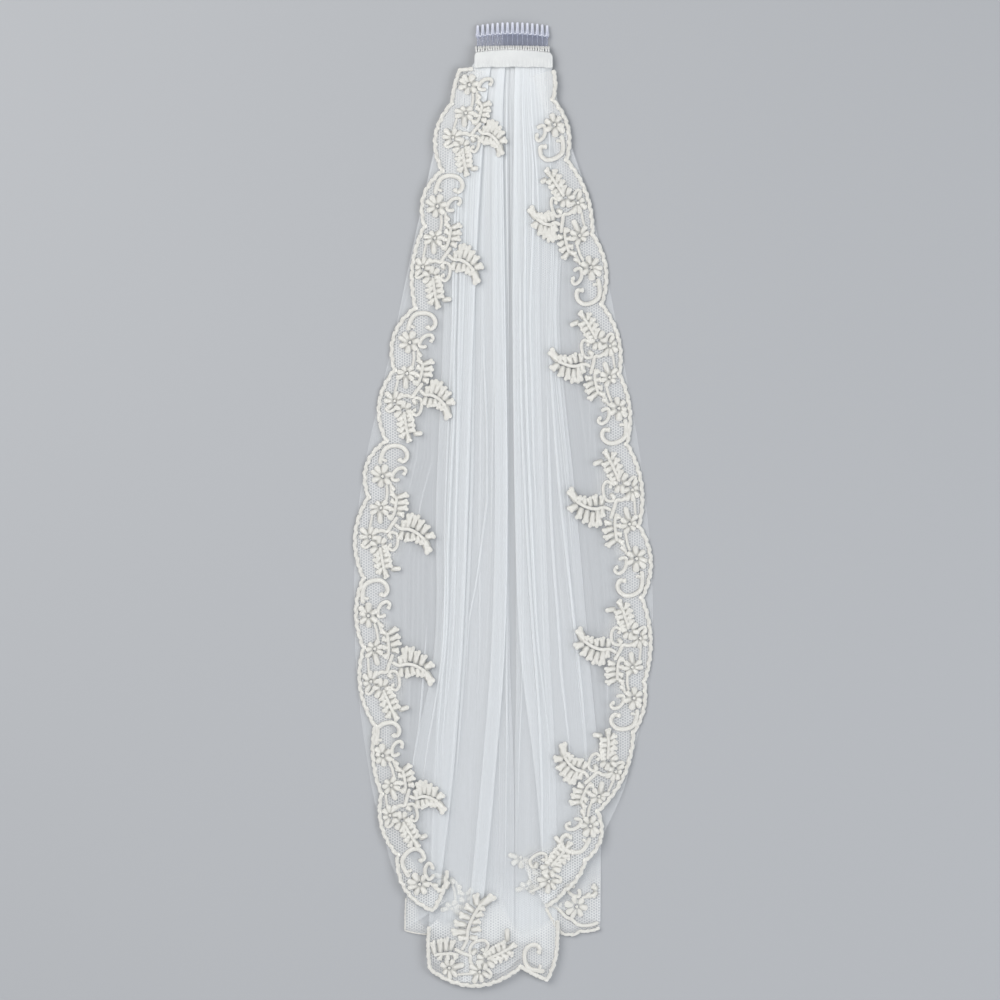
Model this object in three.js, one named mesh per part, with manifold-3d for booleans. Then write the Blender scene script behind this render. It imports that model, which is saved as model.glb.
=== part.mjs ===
import * as THREE from 'three';
import { mergeVertices } from 'three/addons/utils/BufferGeometryUtils.js';
import Module from 'manifold-3d';

// A fingertip bridal veil laid out on a flat surface: one piece of tulle folded
// lengthwise into laid pleats, gathered into a ribbon band that is sewn to a clear
// hair comb, with a scalloped lace edging down both sides and round the hem.
// Millimetres, +Z up, the comb's teeth point to +Y, the hem to -Y.
// A "drop" is a distance down the veil from the front edge of the band.

// Cloth and layers
const bandFrontY = 452;
const clothWall = 1.0;
const pressedWall = 0.8;
const layerPitch = 1.35;
const pressedPitch = 1.05;
const sewnGap = 0.35;
const pressedEnd = 20;
const flatFrom = 110;

// Ribbon band
const bandLeftX = -29;
const bandRightX = 49;
const bandDepth = 16;
const bandWall = 1.0;
const bandInside = 6.2;
const bandSlices = 12;

// Comb
const combLeftX = -26.5;
const combRightX = 45.5;
const teeth = 15;
const toothWidth = 2.5;
const toothThick = 2.0;
const toothFree = 11;
const webDepth = 13;
const webThick = 1.2;
const railDepth = 2.2;
const railThick = 2.6;
const sewingRow = 3.4;
const slotLength = 2.2;
const combSeatZ = 3.4;
const tipDip = 2.2;
const archRise = 4;
const bowRise = 2.6;
const bowFullAt = 0.5;
const webScallop = 1.2;
const toothTip = [
  { width: 1, back: 11 },
  { width: 0.85, back: 3.5 },
  { width: 0.45, back: 0.8 },
];

// Lace edging
const laceWall = 1.3;
const lobeSteps = 6;
const gapSides = 6;
const laceLift = 0.6;
const ridgeLift = 1.1;
const ridgeReach = 18;
const apronRun = 45;
const passFall = 1.0;
const passClear = 1.6;
const ribbonRise = 4;
const lobeFullness = 0.8;
const outlineMargin = 0.015;
const gapMargin = 0.07;
const weldDistance = 1e-4;

// Places of the crossways sections, as shares of the cloth's length
const sectionShares = [
  0, 0.018, 0.05, 0.08, 0.11, 0.15, 0.2, 0.26, 0.32, 0.39, 0.46, 0.53,
  0.6, 0.67, 0.73, 0.78, 0.83, 0.88, 0.94, 1,
];

// Lengthwise lines of the cloth in the order in which the cloth passes them, from its
// left edge to its right edge. x is the place of the line at each drop of lineDrops
// and, last, at the line's own end on the hem, whose drop is "end". Where a line has
// two layers, the cloth turns back under or over itself from the first to the second;
// layer 1 lies lowest. A line with no layer lies on the slope of a side flap.
const lineDrops = [6, 58, 148, 278, 448, 598, 728];
const clothLines = [
  { line: 'leftEdge', x: [-25, -47, -62, -89, -129.5, -137, -121, -105], end: 810 },
  { line: 'leftOuter', x: [-24, -45, -60, -79, -107.5, -113, -111, -99], end: 834 },
  { line: 'leftInner', x: [-21, -40, -56, -59, -66, -68, -90, -84], end: 850 },
  { line: 'leftFlapFold', layers: [5, 4], x: [-11, -17, -23, -29, -34, -40, -50, -65], end: 856 },
  { line: 'leftBodyFold', layers: [2, 1], x: [-22, -41, -57, -60, -67, -69, -93, -97.5], end: 877 },
  { line: 'leftHiddenFold', layers: [1, 2], x: [0.5, 0, 1, 2, 2, 2, 2, 3], end: 889 },
  { line: 'centreLeftFold', layers: [2, 3], x: [-15, -31, -43, -50, -56, -64, -69.5, -75.5], end: 904 },
  { line: 'ribbonFrontFold', layers: [5, 4], x: [3, 0, 1, 3, 6, 4, -9, -27], end: 930 },
  { line: 'ribbonBackFold', layers: [4, 3], x: [-4, -11, -12, -12, -12, -14, -23, -41], end: 930 },
  { line: 'centreMiddle', layer: 3, x: [6, 4, 5, 6, 10, 9, 2, 2], end: 920 },
  { line: 'centreDip', layer: 3, x: [14, 14, 16, 18, 22, 22, 18, 18], end: 905 },
  { line: 'centreCorner', layer: 3, x: [24, 26, 29, 31, 34, 40, 43, 41], end: 919 },
  { line: 'centreRightFold', layers: [3, 2], x: [30, 33, 37, 38, 42, 49, 55, 54.5], end: 902 },
  { line: 'rightHiddenFold', layers: [2, 1], x: [8, 8, 6, 5, 5, 5, 5, 6], end: 889 },
  { line: 'rightBodyFold', layers: [1, 2], x: [42, 46, 59, 57, 75, 88, 97, 98], end: 871 },
  { line: 'rightFlapFold', layers: [4, 5], x: [12, 11, 10, 9.5, 11.5, 17, 32.5, 42], end: 852 },
  { line: 'rightMiddle', layer: 5, x: [25, 27, 33, 33, 42, 52, 66, 69], end: 824 },
  { line: 'rightInner', x: [41, 45, 58, 56, 74, 87, 96, 84], end: 803 },
  { line: 'rightOuter', x: [44, 47, 66, 79, 103, 112, 106, 91], end: 790 },
  { line: 'rightEdge', x: [47, 48, 76, 102, 132, 138, 116, 93], end: 780 },
];

// Points of the lace border, in order down each side. bulge is how far the lobe that
// follows swells out from the straight line to the next point.
const leftScallops = [
  { x: -43, drop: 18, bulge: 1.5 },
  { x: -51, drop: 52, bulge: 12 },
  { x: -60, drop: 119, bulge: 10.5 },
  { x: -78, drop: 174, bulge: 8 },
  { x: -87, drop: 256, bulge: 12 },
  { x: -108, drop: 318, bulge: 12 },
  { x: -116, drop: 389, bulge: 12 },
  { x: -134, drop: 445, bulge: 11.5 },
  { x: -139, drop: 526, bulge: 8 },
  { x: -139, drop: 596, bulge: 9.5 },
  { x: -127.5, drop: 674, bulge: 5.5 },
  { x: -121, drop: 742, bulge: 8.5 },
  { x: -108, drop: 808, bulge: 12 },
  { x: -70, drop: 860, bulge: 0 },
];
const rightScallops = [
  { x: 50, drop: 18, bulge: 2.5 },
  { x: 49.5, drop: 48, bulge: 9 },
  { x: 65, drop: 108, bulge: 8 },
  { x: 91, drop: 178, bulge: 9.5 },
  { x: 98, drop: 252, bulge: 8.5 },
  { x: 116, drop: 322, bulge: 7 },
  { x: 123.5, drop: 392, bulge: 9 },
  { x: 135.5, drop: 474, bulge: 11 },
  { x: 138.5, drop: 546, bulge: 8 },
  { x: 141, drop: 630, bulge: 5.5 },
  { x: 128, drop: 692, bulge: 9.5 },
  { x: 95, drop: 768, bulge: 12 },
  { x: 71, drop: 820, bulge: 4 },
  { x: 42, drop: 854, bulge: 0 },
];

// Repeats of the lace pattern: the border points it runs between, the part of the
// pattern that is used, and how far its sprays reach compared with a full one.
const leftRepeats = [
  { from: 0, to: 2, start: 0.3, stop: 1, reach: 0.62 },
  { from: 2, to: 4, start: 0, stop: 1, reach: 0.9 },
  { from: 4, to: 6, start: 0, stop: 1, reach: 0.9 },
  { from: 6, to: 8, start: 0, stop: 1, reach: 0.98 },
  { from: 8, to: 10, start: 0, stop: 1, reach: 0.98 },
  { from: 10, to: 12, start: 0, stop: 1, reach: 0.92 },
  { from: 12, to: 13, start: 0, stop: 0.45, reach: 0.7 },
];
const rightRepeats = [
  { from: 0, to: 2, start: 0.66, stop: 0, reach: 0.4 },
  { from: 2, to: 4, start: 1, stop: 0, reach: 0.75 },
  { from: 4, to: 6, start: 1, stop: 0, reach: 0.95 },
  { from: 6, to: 8, start: 1, stop: 0, reach: 1 },
  { from: 8, to: 10, start: 1, stop: 0, reach: 1 },
  { from: 10, to: 12, start: 1, stop: 0, reach: 0.95 },
];

// Inner outline of one repeat: along is the share of the repeat, reach the distance
// in from the line of the cusps. The long spray stands at 0.59 to 0.73.
const sprayOutline = [
  { along: 0.02, reach: 16 },
  { along: 0.1, reach: 25 },
  { along: 0.16, reach: 20 },
  { along: 0.22, reach: 24.5 },
  { along: 0.3, reach: 19 },
  { along: 0.37, reach: 23 },
  { along: 0.45, reach: 32 },
  { along: 0.51, reach: 43 },
  { along: 0.59, reach: 55 },
  { along: 0.66, reach: 65 },
  { along: 0.73, reach: 62 },
  { along: 0.77, reach: 48 },
  { along: 0.81, reach: 34 },
  { along: 0.9, reach: 37 },
  { along: 0.97, reach: 26 },
];

// Gaps of one repeat between its scrolls, flowers and sprays.
const motifGaps = [
  { along: 0.1, reach: 15, long: 9, wide: 9 },
  { along: 0.15, reach: 2, long: 15, wide: 7 },
  { along: 0.29, reach: 8, long: 11, wide: 9 },
  { along: 0.4, reach: 17, long: 12, wide: 9 },
  { along: 0.52, reach: 4, long: 15, wide: 8 },
  { along: 0.57, reach: 30, long: 12, wide: 12 },
  { along: 0.67, reach: 47, long: 8, wide: 12 },
  { along: 0.71, reach: 15, long: 15, wide: 12 },
  { along: 0.88, reach: 8, long: 15, wide: 9 },
];

// The lace on the middle fold of the hem: its scallops, then its inner edge from right
// to left, then its gaps.
const hemCentreScallops = [
  { x: -73.5, drop: 874, bulge: 1.5 },
  { x: -73, drop: 916, bulge: 19.5 },
  { x: 17.5, drop: 914, bulge: 1 },
  { x: 44, drop: 927.5, bulge: 2.5 },
  { x: 54, drop: 890, bulge: 0.5 },
  { x: 54.5, drop: 870, bulge: 0 },
];
const hemCentreInner = [
  { x: 46, drop: 864 },
  { x: 38, drop: 871 },
  { x: 30, drop: 865 },
  { x: 22, drop: 871 },
  { x: 15, drop: 861 },
  { x: 7, drop: 869 },
  { x: 0, drop: 861 },
  { x: -4, drop: 848 },
  { x: -7, drop: 836 },
  { x: -16, drop: 840 },
  { x: -26, drop: 845 },
  { x: -38, drop: 851 },
  { x: -42, drop: 861 },
  { x: -54, drop: 869 },
  { x: -64, drop: 866 },
];
const hemCentreGaps = [
  { x: -60, drop: 908, long: 12, wide: 12 },
  { x: -45, drop: 889, long: 10, wide: 10 },
  { x: -30, drop: 903, long: 13, wide: 9 },
  { x: -28, drop: 872, long: 9, wide: 9 },
  { x: -14, drop: 890, long: 12, wide: 9 },
  { x: 0, drop: 911, long: 12, wide: 9 },
  { x: 3, drop: 897, long: 9, wide: 7 },
  { x: 28, drop: 900, long: 14, wide: 12 },
  { x: 42, drop: 906, long: 8, wide: 14 },
];

// The two small pieces of lace that show on the folds behind it
const hemLeftOutline = [
  { x: -96.8, drop: 846 },
  { x: -96.8, drop: 880 },
  { x: -90, drop: 882 },
  { x: -82.5, drop: 883.5 },
  { x: -82.5, drop: 866 },
  { x: -84, drop: 852 },
  { x: -90, drop: 847 },
];
const hemLeftGaps = [
  { x: -90, drop: 872, long: 8, wide: 8 },
  { x: -89.5, drop: 858, long: 8, wide: 6 },
];
const hemRightOutline = [
  { x: 97.4, drop: 803 },
  { x: 97.4, drop: 871 },
  { x: 86, drop: 873.5 },
  { x: 76, drop: 872 },
  { x: 66, drop: 865 },
  { x: 62, drop: 858 },
  { x: 63, drop: 846 },
  { x: 72, drop: 832 },
  { x: 84, drop: 815 },
];
const hemRightGaps = [
  { x: 87, drop: 861, long: 11, wide: 10 },
  { x: 73, drop: 857, long: 10, wide: 8 },
  { x: 87, drop: 836, long: 12, wide: 11 },
];

// Where the side flaps turn under at the hem, the edging ends along the fold
const leftReturn = [
  { x: -66.5, drop: 852 },
];
const rightReturn = [
  { x: 40.5, drop: 842 },
  { x: 39, drop: 812 },
  { x: 38.5, drop: 780 },
  { x: 46, drop: 766 },
  { x: 50, drop: 790 },
];

const finishes = {
  clearPlastic: { color: 0xdde6ee, roughness: 0.12, metalness: 0, transparent: true, opacity: 0.4 },
  ribbon: { color: 0xe6e6de, roughness: 0.55, metalness: 0 },
  tulle: { color: 0xe9edee, roughness: 0.8, metalness: 0 },
  lace: { color: 0xefece0, roughness: 0.7, metalness: 0 },
};

const wasm = await Module();
wasm.setup();

// Place between two values
function mix(a, b, share) {
  return a + (b - a) * share;
}

// Smooth step from 0 to 1 between two places
function ease(from, to, at) {
  const share = Math.min(1, Math.max(0, (at - from) / (to - from)));
  return share * share * (3 - 2 * share);
}

// Smooth curve through knots, straight at its two ends
function through(knots, values, at) {
  const last = knots.length - 1;
  let k = 0;
  while (k < last - 1 && at > knots[k + 1]) k += 1;
  const slope = (i) => {
    const a = Math.max(0, i - 1);
    const b = Math.min(last, i + 1);
    return (values[b] - values[a]) / (knots[b] - knots[a]);
  };
  const span = knots[k + 1] - knots[k];
  const t = Math.min(1, Math.max(0, (at - knots[k]) / span));
  const rise = t * t * (3 - 2 * t);
  const leave = t * (1 - t) * (1 - t) * span * slope(k);
  const arrive = t * t * (t - 1) * span * slope(k + 1);
  return mix(values[k], values[k + 1], rise) + leave + arrive;
}

// x of a line of the cloth at a drop
function lineX(name, drop) {
  const row = clothLines.find((candidate) => candidate.line === name);
  return through([...lineDrops, row.end], row.x, drop);
}

// Comb, band and gathers stand in one low arch across the width
function archZ(x) {
  const middle = (combLeftX + combRightX) / 2;
  const half = (bandRightX - bandLeftX) / 2;
  return archRise * Math.max(0, 1 - ((x - middle) / half) ** 2);
}

// Height of the middle of the cloth in a layer, counted from 1
function layerZ(layer, x, drop) {
  const settled = ease(pressedEnd, flatFrom, drop);
  const sewnBase = bandWall + sewnGap + pressedWall / 2 + archZ(x);
  const base = mix(sewnBase, clothWall / 2, settled);
  const pitch = mix(pressedPitch, layerPitch, settled);
  return base + (layer - 1) * pitch;
}

// The side flaps lie on the folded body and slope from its outer folds to the floor,
// which they reach at their own cut edge, or over the shortest run that they need
function apronZ(x, drop) {
  const side = x < lineX('centreMiddle', drop) ? 'left' : 'right';
  const foldX = lineX(`${side}BodyFold`, drop);
  const edgeX = lineX(`${side}Edge`, drop);
  const outside = side === 'left' ? foldX - x : x - foldX;
  const run = Math.max(apronRun, Math.abs(edgeX - foldX));
  const share = Math.min(1, Math.max(0, outside / run));
  return mix(layerZ(5, x, drop), layerZ(1, x, drop), share);
}

// Underside of the edging over a flap, a little higher over the fold it bends on
function edgingZ(x, drop) {
  const side = x < lineX('centreMiddle', drop) ? 'left' : 'right';
  const away = (x - lineX(`${side}BodyFold`, drop)) / ridgeReach;
  return apronZ(x, drop) + clothWall / 2 + laceLift + ridgeLift * Math.exp(-away * away);
}

// The layer under a flap steps down where the middle fold below it ends
function passZ(x, drop, foldX, side) {
  const beyond = Math.max(0, (foldX - x) * side);
  return Math.max(layerZ(2, x, drop), layerZ(4, x, drop) - passFall * beyond);
}

// One crossways section of the cloth at a share of its length: points of its middle
// line with the direction in which its wall is measured.
function clothSection(share) {
  const lines = Object.fromEntries(clothLines.map((row) => {
    const drop = mix(lineDrops[0], row.end, share);
    return [row.line, { ...row, drop, x: through([...lineDrops, row.end], row.x, drop) }];
  }));
  const points = [];
  const add = (x, drop, z, nx = 0, nz = 1) => {
    points.push({ x, y: bandFrontY - drop, z, nx, nz });
  };
  // the cloth runs to the right in direction 1 and to the left in direction -1
  const crease = (name, direction, fromZ, toZ) => {
    const { x, drop } = lines[name];
    const round = Math.abs(toZ - fromZ) / 2;
    const face = toZ > fromZ ? 1 : -1;
    add(x - round * direction, drop, fromZ, 0, direction);
    add(x, drop, (fromZ + toZ) / 2, -direction * face * direction, 0);
    add(x - round * direction, drop, toZ, 0, -direction);
  };
  const creaseAt = (name, direction) => {
    const { x, drop, layers } = lines[name];
    crease(name, direction, layerZ(layers[0], x, drop), layerZ(layers[1], x, drop));
  };
  const pass = (name) => {
    const { x, drop, layer } = lines[name];
    add(x, drop, layerZ(layer, x, drop));
  };
  // a point part of the way from one line to another, in a layer
  const between = (from, to, part, layer, direction) => {
    const x = mix(lines[from].x, lines[to].x, part);
    const drop = mix(lines[from].drop, lines[to].drop, part);
    add(x, drop, layerZ(layer, x, drop), 0, direction);
  };
  const apron = (name) => {
    const { x, drop } = lines[name];
    add(x, drop, apronZ(x, drop));
  };

  apron('leftEdge');
  apron('leftOuter');
  apron('leftInner');
  creaseAt('leftFlapFold', 1);
  const left = lines.leftBodyFold;
  const leftDrop = mix(lines.leftFlapFold.drop, left.drop, 0.5);
  const leftPassX = lineX('centreLeftFold', leftDrop) - passClear;
  const leftStepX = Math.max(left.x + passClear, leftPassX - 2 * layerPitch);
  add(leftPassX, leftDrop, layerZ(4, leftPassX, leftDrop), 0, -1);
  add(leftStepX, leftDrop, passZ(leftStepX, leftDrop, leftPassX, 1), 0, -1);
  const leftArrive = passZ(left.x, left.drop, leftPassX, 1);
  crease('leftBodyFold', -1, leftArrive, layerZ(1, left.x, left.drop));
  between('leftBodyFold', 'leftHiddenFold', 0.33, 1, 1);
  between('leftBodyFold', 'leftHiddenFold', 0.67, 1, 1);
  creaseAt('leftHiddenFold', 1);
  between('leftHiddenFold', 'centreLeftFold', 0.5, 2, -1);
  creaseAt('centreLeftFold', -1);
  const flap = lines.leftFlapFold;
  const back = lines.ribbonBackFold;
  const riseX = Math.max(flap.x + passClear, back.x - passClear - ribbonRise);
  const topX = back.x - passClear;
  add(riseX, back.drop, layerZ(3, riseX, back.drop));
  add(topX, back.drop, layerZ(5, topX, back.drop));
  creaseAt('ribbonFrontFold', 1);
  creaseAt('ribbonBackFold', -1);
  pass('centreMiddle');
  pass('centreDip');
  pass('centreCorner');
  creaseAt('centreRightFold', 1);
  between('centreRightFold', 'rightHiddenFold', 0.5, 2, -1);
  creaseAt('rightHiddenFold', -1);
  between('rightHiddenFold', 'rightBodyFold', 0.25, 1, 1);
  between('rightHiddenFold', 'rightBodyFold', 0.5, 1, 1);
  between('rightHiddenFold', 'rightBodyFold', 0.75, 1, 1);
  const right = lines.rightBodyFold;
  const rightDrop = mix(lines.rightFlapFold.drop, right.drop, 0.5);
  const rightPassX = lineX('centreRightFold', rightDrop) + passClear;
  const rightStepX = Math.min(right.x - passClear, rightPassX + 2 * layerPitch);
  const rightArrive = passZ(right.x, right.drop, rightPassX, -1);
  crease('rightBodyFold', 1, layerZ(1, right.x, right.drop), rightArrive);
  add(rightStepX, rightDrop, passZ(rightStepX, rightDrop, rightPassX, -1), 0, -1);
  add(rightPassX, rightDrop, layerZ(4, rightPassX, rightDrop), 0, -1);
  between('rightFlapFold', 'rightBodyFold', 0.4, 4, -1);
  creaseAt('rightFlapFold', -1);
  pass('rightMiddle');
  apron('rightInner');
  apron('rightOuter');
  apron('rightEdge');
  return points;
}

// Closed solid from points and triangles, turned to face outwards
function solidFrom(points, triangles) {
  let volume = 0;
  for (const [a, b, c] of triangles) {
    const [p, q, r] = [points[a], points[b], points[c]];
    volume += p[0] * (q[1] * r[2] - q[2] * r[1]);
    volume += p[1] * (q[2] * r[0] - q[0] * r[2]);
    volume += p[2] * (q[0] * r[1] - q[1] * r[0]);
  }
  const faces = volume > 0 ? triangles : triangles.map(([a, b, c]) => [a, c, b]);
  const geometry = new THREE.BufferGeometry();
  geometry.setAttribute('position', new THREE.Float32BufferAttribute(points.flat(), 3));
  geometry.setIndex(faces.flat());
  return geometry;
}

// Wall lofted through the crossways sections: its upper skin, lower skin and rim
function clothWallSolid() {
  const points = [];
  const triangles = [];
  const count = clothSection(0).length;
  for (const share of sectionShares) {
    const section = clothSection(share);
    for (const side of [1, -1]) {
      for (const point of section) {
        const settled = ease(pressedEnd, flatFrom, bandFrontY - point.y);
        const half = side * mix(pressedWall, clothWall, settled) / 2;
        points.push([point.x + point.nx * half, point.y, point.z + point.nz * half]);
      }
    }
  }
  const quad = (a, b, c, d) => triangles.push([a, b, c], [a, c, d]);
  const upper = (row, k) => row * 2 * count + k;
  const lower = (row, k) => upper(row, k) + count;
  const last = sectionShares.length - 1;
  for (let row = 0; row < last; row += 1) {
    for (let k = 0; k < count - 1; k += 1) {
      quad(upper(row, k), upper(row + 1, k), upper(row + 1, k + 1), upper(row, k + 1));
      quad(lower(row, k), lower(row, k + 1), lower(row + 1, k + 1), lower(row + 1, k));
    }
    quad(lower(row, 0), lower(row + 1, 0), upper(row + 1, 0), upper(row, 0));
    const k = count - 1;
    quad(upper(row, k), upper(row + 1, k), lower(row + 1, k), lower(row, k));
  }
  for (let k = 0; k < count - 1; k += 1) {
    quad(upper(0, k), upper(0, k + 1), lower(0, k + 1), lower(0, k));
    quad(upper(last, k + 1), upper(last, k), lower(last, k), lower(last, k + 1));
  }
  return solidFrom(points, triangles);
}

// Manifold solid of a geometry whose corners are merged
function asSolid(geometry) {
  const bare = geometry.clone();
  bare.deleteAttribute('normal');
  bare.deleteAttribute('uv');
  const merged = mergeVertices(bare, weldDistance);
  return new wasm.Manifold(new wasm.Mesh({
    numProp: 3,
    vertProperties: new Float32Array(merged.attributes.position.array),
    triVerts: new Uint32Array(merged.index.array),
  }));
}

// Flat plate of a thickness, half above and half below Z 0, from a plan outline
function flatPlate(outline, thick) {
  const shape = new THREE.Shape(outline.map(([x, y]) => new THREE.Vector2(x, y)));
  const solid = new THREE.ExtrudeGeometry(shape, { depth: thick, steps: 1, bevelEnabled: false });
  return asSolid(solid.translate(0, 0, -thick / 2));
}

// Geometry of a manifold solid after each of its corners is moved by a rule
function movedSolid(solid, rule) {
  const mesh = solid.getMesh();
  const points = [];
  for (let i = 0; i < mesh.vertProperties.length; i += 3) {
    points.push(rule(...mesh.vertProperties.slice(i, i + 3)));
  }
  const triangles = [];
  for (let i = 0; i < mesh.triVerts.length; i += 3) {
    triangles.push([...mesh.triVerts.slice(i, i + 3)]);
  }
  return solidFrom(points, triangles);
}

// Scalloped border: each lobe swells out from its chord as half a sine wave
function borderPoints(scallops, outward) {
  const points = [];
  for (let i = 0; i < scallops.length - 1; i += 1) {
    const a = scallops[i];
    const b = scallops[i + 1];
    const chord = Math.hypot(b.x - a.x, b.drop - a.drop);
    const nx = (b.drop - a.drop) / chord * outward;
    const ny = -(b.x - a.x) / chord * outward;
    for (let k = 0; k < lobeSteps; k += 1) {
      const share = k / lobeSteps;
      const swell = a.bulge * Math.sin(Math.PI * share) ** lobeFullness;
      points.push([mix(a.x, b.x, share) + nx * swell, mix(a.drop, b.drop, share) + ny * swell]);
    }
  }
  const end = scallops[scallops.length - 1];
  points.push([end.x, end.drop]);
  return points;
}

// A place in a repeat, from its share along the pattern and its distance in
function inRepeat(scallops, repeat, inward, along, reach) {
  const a = scallops[repeat.from];
  const b = scallops[repeat.to];
  const share = (along - repeat.start) / (repeat.stop - repeat.start);
  const chord = Math.hypot(b.x - a.x, b.drop - a.drop);
  const nx = (b.drop - a.drop) / chord * inward;
  const ny = -(b.x - a.x) / chord * inward;
  const depth = reach * repeat.reach;
  return [mix(a.x, b.x, share) + nx * depth, mix(a.drop, b.drop, share) + ny * depth];
}

// Rows of the pattern that fall in the part a repeat uses, in the order down the veil
function rowsIn(repeat, rows, margin) {
  const low = Math.min(repeat.start, repeat.stop) + margin;
  const high = Math.max(repeat.start, repeat.stop) - margin;
  const kept = rows.filter((row) => row.along >= low && row.along <= high);
  return repeat.stop > repeat.start ? kept : kept.reverse();
}

// Row of a table as a pair of x and drop
function pairOf(row) {
  return [row.x, row.drop];
}

// Small oval gap
function gapLoop(x, drop, long, wide) {
  const loop = [];
  for (let k = 0; k < gapSides; k += 1) {
    const turn = 2 * Math.PI * k / gapSides;
    loop.push([x + wide / 2 * Math.cos(turn), drop + long / 2 * Math.sin(turn)]);
  }
  return loop;
}

// Pierced plate from a plan outline and gaps, laid over the cloth by a height rule
function lacePlate(outline, gaps, undersideZ) {
  const toPlan = ([x, drop]) => [x, bandFrontY - drop];
  let plate = flatPlate(outline.map(toPlan), laceWall);
  for (const loop of gaps) plate = plate.subtract(flatPlate(loop.map(toPlan), 2 * laceWall));
  const drape = (x, y, z) => [x, y, z + laceWall / 2 + undersideZ(x, bandFrontY - y)];
  return movedSolid(plate, drape);
}

// Edging of one side, from the comb down to where it turns under at the hem
function sideEdging(scallops, repeats, side, foldReturn) {
  const border = borderPoints(scallops, -side);
  const inner = [];
  const gaps = [];
  for (const repeat of repeats) {
    for (const row of rowsIn(repeat, sprayOutline, outlineMargin)) {
      inner.push(inRepeat(scallops, repeat, side, row.along, row.reach));
    }
    for (const gap of rowsIn(repeat, motifGaps, gapMargin)) {
      const [x, drop] = inRepeat(scallops, repeat, side, gap.along, gap.reach);
      const scale = Math.sqrt(repeat.reach);
      gaps.push(gapLoop(x, drop, gap.long * scale, gap.wide * scale));
    }
  }
  const outline = [...border, ...foldReturn.map(pairOf), ...inner.reverse()];
  return lacePlate(outline, gaps, edgingZ);
}

// Edging that shows on one fold of the hem, from the pairs of its outline
function hemEdging(outline, gaps, layer) {
  const loops = gaps.map((gap) => gapLoop(gap.x, gap.drop, gap.long, gap.wide));
  const restZ = (x, drop) => layerZ(layer, x, drop) + clothWall / 2 + sewnGap;
  return lacePlate(outline, loops, restZ);
}

// Ribbon folded over the gathered end of the cloth: a channel open towards the hem
function ribbonBand() {
  const height = bandInside + 2 * bandWall;
  const channel = new THREE.Shape();
  channel.moveTo(0, 0);
  channel.lineTo(bandDepth, 0);
  channel.lineTo(bandDepth, bandWall);
  channel.lineTo(bandWall, bandWall);
  channel.lineTo(bandWall, height - bandWall);
  channel.lineTo(bandDepth, height - bandWall);
  channel.lineTo(bandDepth, height);
  channel.lineTo(0, height);
  channel.closePath();
  const width = bandRightX - bandLeftX;
  const band = new THREE.ExtrudeGeometry(channel, { depth: width, steps: bandSlices, bevelEnabled: false });
  const place = band.attributes.position;
  for (let i = 0; i < place.count; i += 1) {
    const back = place.getX(i);
    const z = place.getY(i);
    const x = bandRightX - place.getZ(i);
    place.setXYZ(i, x, bandFrontY - back, z + archZ(x));
  }
  return band;
}

// Clear comb: rail with a row of sewing slots, thin web, and fifteen ribs that run on
// as free tapering teeth. It is made flat and then bent into its arch.
function clearComb() {
  const backY = bandFrontY + sewnGap;
  const railY = backY + sewingRow;
  const webY = railY + railDepth + webDepth;
  const tipY = webY + toothFree;
  const pitch = (combRightX - combLeftX - toothWidth) / (teeth - 1);
  const box = (x0, x1, y0, y1) => [[x0, y0], [x1, y0], [x1, y1], [x0, y1]];
  const webOutline = [];
  for (let k = 0; k < teeth - 1; k += 1) {
    const x = combLeftX + toothWidth / 2 + k * pitch;
    webOutline.push([x, webY], [x + pitch / 2, webY - webScallop]);
  }
  webOutline.push([combRightX - toothWidth / 2, webY]);
  let comb = flatPlate([[combRightX, backY], ...webOutline.reverse(), [combLeftX, backY]], webThick);
  for (let k = 0; k < teeth; k += 1) {
    const x = combLeftX + toothWidth / 2 + k * pitch;
    const half = toothWidth / 2;
    const rightSide = toothTip.map(({ width, back }) => [x + half * width, tipY - back]);
    const leftSide = toothTip.map(({ width, back }) => [x - half * width, tipY - back]).reverse();
    const tooth = [[x - half, railY], [x + half, railY], ...rightSide, [x, tipY], ...leftSide];
    comb = comb.add(flatPlate(tooth, toothThick));
  }
  for (let k = 0; k < teeth - 1; k += 1) {
    const x = combLeftX + toothWidth + k * pitch;
    const low = backY + (sewingRow - slotLength) / 2;
    comb = comb.subtract(flatPlate(box(x, x + pitch - toothWidth, low, low + slotLength), railThick));
  }
  const railX = [];
  for (let k = 0; k < teeth; k += 1) {
    railX.push(mix(combLeftX, combRightX, k / (teeth - 1)));
  }
  const rail = [
    ...railX.map((x) => [x, railY]),
    ...railX.map((x) => [x, railY + railDepth]).reverse(),
  ];
  comb = comb.add(flatPlate(rail, railThick));
  const middle = (combLeftX + combRightX) / 2;
  const half = (combRightX - combLeftX) / 2;
  return movedSolid(comb, (x, y, z) => {
    const out = (y - backY) / (tipY - backY);
    const bow = bowRise * ((x - middle) / half) ** 2 * ease(0, bowFullAt, out);
    const dip = tipDip * Math.max(0, (y - webY) / toothFree) ** 2;
    return [x, y - bow, combSeatZ + z + archZ(x) - dip];
  });
}

function piece(name, geometry, finish) {
  const mesh = new THREE.Mesh(geometry, new THREE.MeshStandardMaterial(finish));
  mesh.name = name;
  return mesh;
}

const hemCentreOutline = [...borderPoints(hemCentreScallops, -1), ...hemCentreInner.map(pairOf)];

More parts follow.
